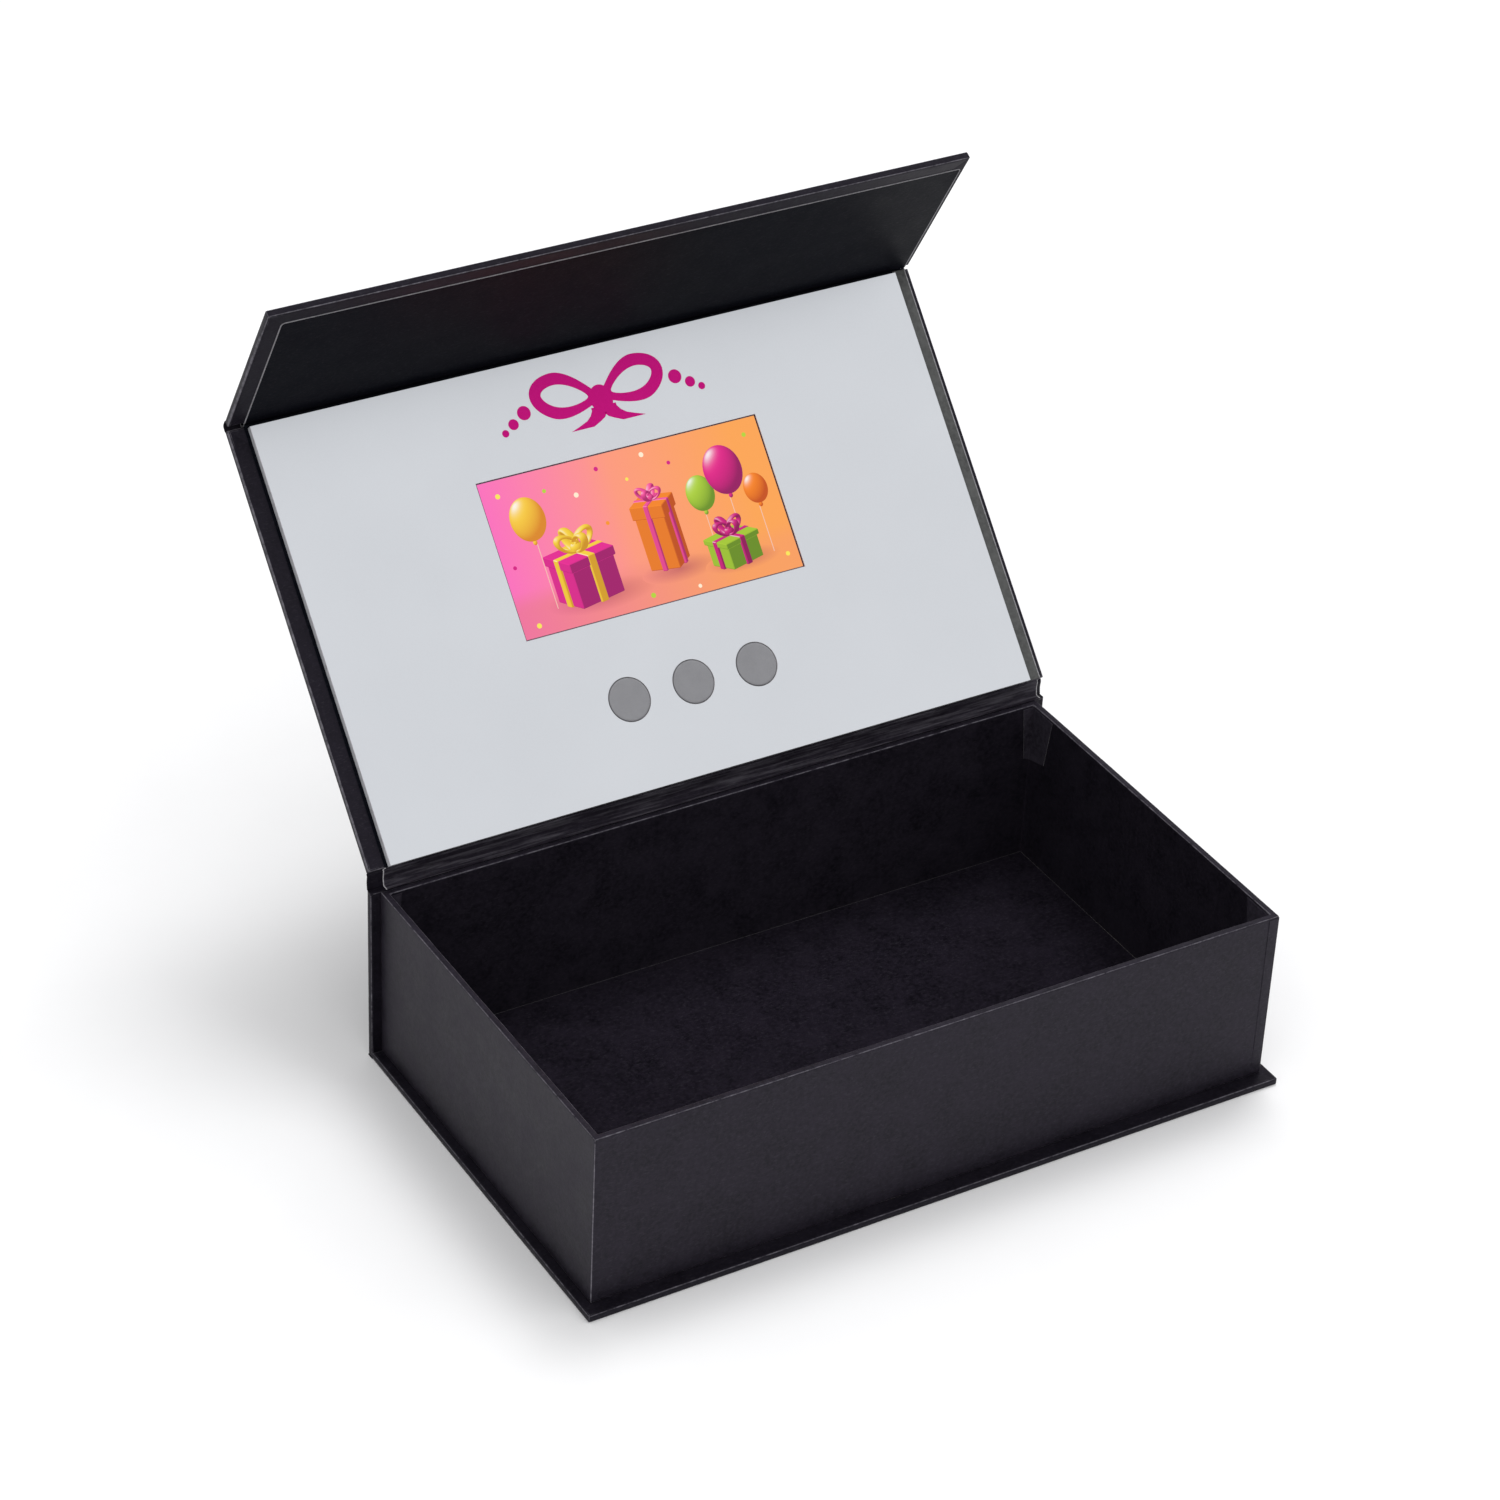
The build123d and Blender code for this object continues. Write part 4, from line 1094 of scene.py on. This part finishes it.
def ink_round(size, place, turn=0.0, pinch=0.0, band=0.0):
    """A printed disc or loop. A band leaves its middle open, and a pinch narrows its right end."""
    reach = (size[0] * mm, size[1] * mm, 1)
    piece = start(bpy.ops.mesh.primitive_circle_add, reach, vertices=64, radius=1, fill_type="NGON")
    open_mesh()
    bpy.ops.mesh.select_all(action="SELECT")
    if band:
        bpy.ops.mesh.inset(thickness=band * mm)
        bpy.ops.mesh.delete(type="FACE")
    shape = bmesh.from_edit_mesh(piece.data)
    for point in shape.verts:
        share = max(0.0, point.co.x / (size[0] * mm) + 0.35) / 1.35
        point.co.y *= 1 - pinch * share ** 1.5
    bmesh.update_edit_mesh(piece.data)
    close_mesh()
    shift = Matrix.Translation(Vector(place) * mm)
    settle(piece, shift @ Matrix.Rotation(math.radians(turn), 4, "Z"))
    ink_parts.append(piece)
    return piece


def ink_tail(side):
    """A printed ribbon end, run out in short steps and a little wider at each."""
    under_knot = (side * 2 * mm, -3 * mm, 0)
    piece = start(bpy.ops.mesh.primitive_plane_add, (5.6 * mm, 1 * mm, 1), under_knot, size=1)
    open_mesh()
    pick(piece, "EDGE", lambda part: middle(part).y < -3.4 * mm)
    for across, down in ((1.1, -1.6), (1.6, -1.4), (2.4, -1.1), (3.0, -1.3)):
        bpy.ops.mesh.extrude_region_move(
            TRANSFORM_OT_translate={"value": (side * across * mm, down * mm, 0)}
        )
        bpy.ops.transform.resize(value=(1.12, 1, 1), center_override=(side * 6 * mm, -6 * mm, 0))
    close_mesh()
    ink_parts.append(piece)


for side in (-1, 1):
    loop = ink_round((13.0, 8.6), (-13.0, 3.8, 0), -14.0, 0.6, 4.3)
    if side > 0:
        settle(loop, Matrix.Diagonal((-1, 1, 1, 1)))
        turn_over(loop)
    ink_tail(side)
    for across, rise, size in ((29.4, 1.4, 2.5), (34.4, -1.6, 1.9), (38.2, -4.0, 1.3)):
        ink_round((size, size), (side * across, rise, 0))
ink_round((4.3, 5.0), (0, 0, 0.022))
printed_bow = joined(ink_parts, "printed_bow")
open_mesh()
bpy.ops.mesh.select_all(action="SELECT")
bpy.ops.mesh.normals_make_consistent(inside=False)
shape = bmesh.from_edit_mesh(printed_bow.data)
for face in shape.faces:
    if face.normal.z < 0:
        face.normal_flip()
bmesh.update_edit_mesh(printed_bow.data)
close_mesh()
thicken(printed_bow, 0.02 * mm)
ink = mottled(
    "magenta_ink", (0.35 * mm, 3.0, 0.6), tone(216, 8, 134), tone(224, 28, 146), (0.5, 0.5),
    0.02 * mm, specular=0.08, share=(0.35, 0.7, 0.0, 0.5)
)
print_rise = 134.5 * mm
print_place = Matrix.Translation((0, print_rise, high.z + 0.025 * mm))
set_down(printed_bow, "lid", ink, lid_plane @ print_place)


# Buttons. Three flat grey keys with no marks, moulded in satin plastic. Each has a flange under
# the card that keeps it in and a stem that presses its switch, and it travels 0.4 mm.
key_grey, tree, surface, place = start_finish("key_plastic", 0.5, specular=0.4)
pits = speckle(tree, place, 0.4 * mm, 3.0, 0.6)
touch = speckle(tree, place, 5 * mm, 4.0, 0.6)
key_tone = mix(tree, level(tree, touch, 0.3, 0.7, 0.0, 1.0), tone(137, 137, 141), tone(131, 131, 135))
key_tone = mix(tree, level(tree, pits, 0.4, 0.7, 0.0, 0.4), key_tone, tone(143, 143, 146))
# Each key's rim is darkened towards a deeper grey: painted shade of the narrow gap between the key and
# the card.
rim_gap_shade = add(tree, "Attribute", {}, attribute_name="fold_wear_and_rim_shade").outputs["Fac"]
key_tone = mix(tree, level(tree, rim_gap_shade, 0.0, 1.0, 0.0, 0.6), key_tone, tone(104, 104, 108))
coat(tree, surface, key_tone)
polish(tree, surface, touch, 0.44, 0.56)
roughen(tree, surface, pits, 0.02 * mm, 0.6)
low, high = spread("play_button", lid_plane)
flange_sheet = 0.5 * mm
flange_middle = (0, button_rise, 4.65 * mm)
flange_low = 4.4 * mm
flange_high = 4.9 * mm
rounded_from = 7.4 * mm
first_key = start(
    add_round, actual_size, flange_middle, vertices=96, radius=key_flange, depth=flange_sheet
)
open_mesh()
pick(first_key, "FACE", lambda part: part.normal.z > 0.9)
bpy.ops.mesh.inset(thickness=0.8 * mm)
bpy.ops.mesh.extrude_region_move(TRANSFORM_OT_translate={"value": (0, 0, high.z - flange_high)})
bpy.ops.mesh.inset(thickness=0.22 * mm)
bpy.ops.mesh.inset(thickness=0.5 * mm)
pick(first_key, "FACE", lambda part: part.normal.z < -0.9)
bpy.ops.mesh.inset(thickness=7.1 * mm)
bpy.ops.mesh.extrude_region_move(TRANSFORM_OT_translate={"value": (0, 0, low.z - flange_low)})
close_mesh()
shape = bmesh.new()
shape.from_mesh(first_key.data)
# The key's rim points are marked for that painted gap shade, and the edge of the top is lowered a
# little.
rim_shade_mark = shape.verts.layers.float.new("fold_wear_and_rim_shade")
for point in shape.verts:
    reach = math.hypot(point.co.x, point.co.y - button_rise)
    point[rim_shade_mark] = 1.0 if reach > rounded_from else 0.0
    if point.co.z > high.z - 1e-6 and reach > rounded_from:
        point.co.z -= 0.14 * mm
shape.to_mesh(first_key.data)
shape.free()
for key, node, across in zip(
    ("volume_down_key", "play_key", "volume_up_key"),
    ("volume_down_button", "play_button", "volume_up_button"),
    button_places,
):
    piece = copy_of(first_key)
    piece.name = key
    set_down(piece, node, key_grey, lid_plane @ Matrix.Translation((across, 0, 0)))
    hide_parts(node)
bpy.data.objects.remove(first_key)


# Flap board and its magnets. Two nickel-plated discs sit in pockets of the grey board, over the
# keepers in the tray's front wall when the box is shut.
dress("flap_board", greyboard)
dress("flap_magnets", nickel)


# Wrap of the flap, from the crease to its free edge. It is made like the lid's.
flap_plane = lid_plane @ Matrix.Translation((0, (flap_hinge - lid_hinge).length, 0))
flap_fold = math.radians(73)
flap_plane = flap_plane @ Matrix.Rotation(flap_fold, 4, "X")
low, high = spread("flap_wrap", flap_plane)
flap_paper = wrapped_board(
    "flap_paper", low, high, lambda place: place.y < low.y + 1e-5 and place.z < high.z - 1e-5, 0.85
)
set_down(flap_paper, "flap", case_paper, flap_plane)
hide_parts("flap_wrap")


# Lining of the flap. It stops 6 mm short of the flap's left and free edges and nearly reaches the
# right one. Its cut edge is a pale line along three sides, a little round at the free corners.
low, high = spread("flap_liner", flap_plane)
high.x += to_right


def lining_inner(place):
    """Tell whether a place is inside the lining's pale cut edge."""
    margin = 0.4 * mm
    return (
        low.x + margin < place.x < high.x - margin
        and place.y < high.y - margin
        and min(place.x - low.x, high.x - place.x) + high.y - place.y > 1.9 * mm
    )


flap_lining = cut_sheet("flap_lining", low, high, 0.42 * mm, lining_inner, 1.5 * mm)
set_down(flap_lining, "flap", lining_paper, flap_plane)
flap_lining.data.materials.append(lining_core)
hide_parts("flap_liner")


# Hinge of the lid. The outer paper runs from the spine over the gap to the lid, and the lining is
# pasted to its inside, across the spine's top and up the lid's back edge. Both bend at the hinge.
def side_point(plane, reach, height):
    """A point on a panel's plane, seen from the hinge's end."""
    return plane @ Vector((0, reach, height))


rim_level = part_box("spine_wrap")[1].z
spine_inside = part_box("spine_wrap")[0].y
lining_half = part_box("lid_hinge_liner")[1].x
lining_length = 2 * lining_half + to_right
lining_shift = Vector((to_right / 2, 0, 0))
bow_out = 0.35 * mm
lining_rise = 0.4 * mm
on_board = 2.8 * mm
outer_points = [
    Vector((0, lid_hinge.y, rim_level)),
    Vector((0, lid_hinge.y + bow_out, (rim_level + lid_hinge.z) / 2)),
    lid_hinge,
    side_point(lid_plane, 0.7 * mm, 0),
]
lid_hinge_paper = folded_strip(
    "lid_hinge_paper", case_length, outer_points, 0.6 * mm, Vector((0, 1, 0))
)
set_down(lid_hinge_paper, None, case_paper)
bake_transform(lid_hinge_paper)
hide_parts("lid_crease")
inner_bend = lining_rise * math.tan(math.acos(lid_along.z) / 2)
inner_points = [
    Vector((0, spine_inside, rim_level + 0.2 * mm)),
    Vector((0, lid_hinge.y - lining_rise, rim_level + 0.2 * mm)),
    Vector((0, lid_hinge.y - lining_rise + bow_out, (rim_level + lid_hinge.z) / 2)),
    side_point(lid_plane, -inner_bend, lining_rise),
    side_point(lid_plane, 0.5 * mm, lining_rise),
    side_point(lid_plane, 0.5 * mm, on_board),
]


def show_ends(piece, core):
    """Give the cut ends of a hinge's lining their pale core."""
    piece.data.materials.append(core)
    left_end = -lining_half + 0.3 * mm
    right_end = lining_half + to_right - 0.3 * mm
    for face in piece.data.polygons:
        if not left_end <= face.center.x <= right_end:
            face.material_index = 1


lid_hinge_lining = folded_strip(
    "lid_hinge_lining", lining_length, [point + lining_shift for point in inner_points],
    0.25 * mm, Vector((0, 0, 1)), 0.3 * mm,
)
hinge_paper = black_paper(
    "hinge_paper", tone(24, 21, 28), tone(46, 42, 51), tone(120, 117, 125), 0.4, 0.5, 0.2, 0.35
)
set_down(lid_hinge_lining, None, hinge_paper)
show_ends(lid_hinge_lining, cut_core("bright_core", tone(206, 204, 208), tone(150, 148, 152)))
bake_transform(lid_hinge_lining)
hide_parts("lid_hinge_liner")


# Hinge of the flap. The same two layers cross the crease between the lid and the flap. The
# lining's points lie on its back, so there it faces the lid's board.
lid_front = spread("lid_wrap", lid_plane)[1].y
flap_root = spread("flap_wrap", flap_plane)[0].y
outer_points = [
    side_point(lid_plane, lid_front, 0),
    flap_hinge,
    side_point(flap_plane, flap_root, 0),
]
flap_hinge_paper = folded_strip(
    "flap_hinge_paper", case_length, outer_points, 0.9 * mm, lid_along - lid_inward
)
set_down(flap_hinge_paper, None, case_paper)
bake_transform(flap_hinge_paper)
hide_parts("flap_crease")
inner_fold = lining_rise * math.tan(flap_fold / 2)
inner_points = [
    side_point(lid_plane, lid_front + paper_sheet, on_board),
    side_point(lid_plane, lid_front + paper_sheet, lining_rise),
    side_point(flap_plane, inner_fold, lining_rise),
    side_point(flap_plane, flap_root - paper_sheet, lining_rise),
    side_point(flap_plane, flap_root - paper_sheet, on_board),
]
flap_hinge_lining = folded_strip(
    "flap_hinge_lining", lining_length, [point + lining_shift for point in inner_points],
    0.2 * mm, -lid_along, 0.3 * mm,
)
set_down(flap_hinge_lining, None, lining_paper)
show_ends(flap_hinge_lining, lining_core)
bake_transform(flap_hinge_lining)
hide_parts("flap_hinge_liner")


# Studio floor and light. A wide white table in a bright room, a broad lamp high on the right,
# behind the lid, and a weaker one at the front left. The shadows fall softly to the left and front.
table_radius = 150
table_place = (0, 0, -0.05 * mm)
table = start(
    bpy.ops.mesh.primitive_circle_add, actual_size, table_place,
    vertices=96, radius=table_radius, fill_type="NGON"
)
table.name = "table"
table_white = mottled(
    "table_white", (30 * mm, 4.0, 0.5), tone(246, 246, 247), tone(243, 243, 244), (0.9, 0.9),
    specular=0.1
)
table.data.materials.append(table_white)
room = bpy.data.worlds.new("room")
bpy.context.scene.world = room
room.use_nodes = True
tree = room.node_tree
sky = add(tree, "TexCoord", {}).outputs["Generated"]
height = add(tree, "SeparateXYZ", {"Vector": sky}).outputs["Z"]
ceiling = level(tree, height, 0.05, 0.5, 0.06, 0.95)
bright_side = (0.3, -0.95, 0.0)
toward = add(tree, "VectorMath", {0: sky, 1: bright_side}, operation="DOT_PRODUCT").outputs["Value"]
side = level(tree, toward, -1.0, 1.0, 0.72, 1.28)
brightness = add(tree, "Math", {0: ceiling, 1: side}, operation="MULTIPLY").outputs["Value"]
tree.links.new(brightness, tree.nodes["Background"].inputs["Strength"])
tree.nodes["Background"].inputs["Color"].default_value = (1, 1, 1, 1)
for name, spot, size, power in (
    ("key_lamp", (0.55, 0.5, 2.1), 0.8, 18),
    ("fill_lamp", (-1.2, -1.2, 1.6), 1.0, 3),
):
    bpy.ops.object.select_all(action="DESELECT")
    bpy.ops.object.light_add(type="AREA", location=spot)
    lamp = bpy.context.object
    lamp.name = name
    lamp.data.size = size
    lamp.data.energy = power
    lamp.visible_glossy = False
    aim = Vector((0, 0, 0.06)) - Vector(spot)
    lamp.rotation_euler = aim.to_track_quat("-Z", "Y").to_euler()

bpy.context.view_layer.update()
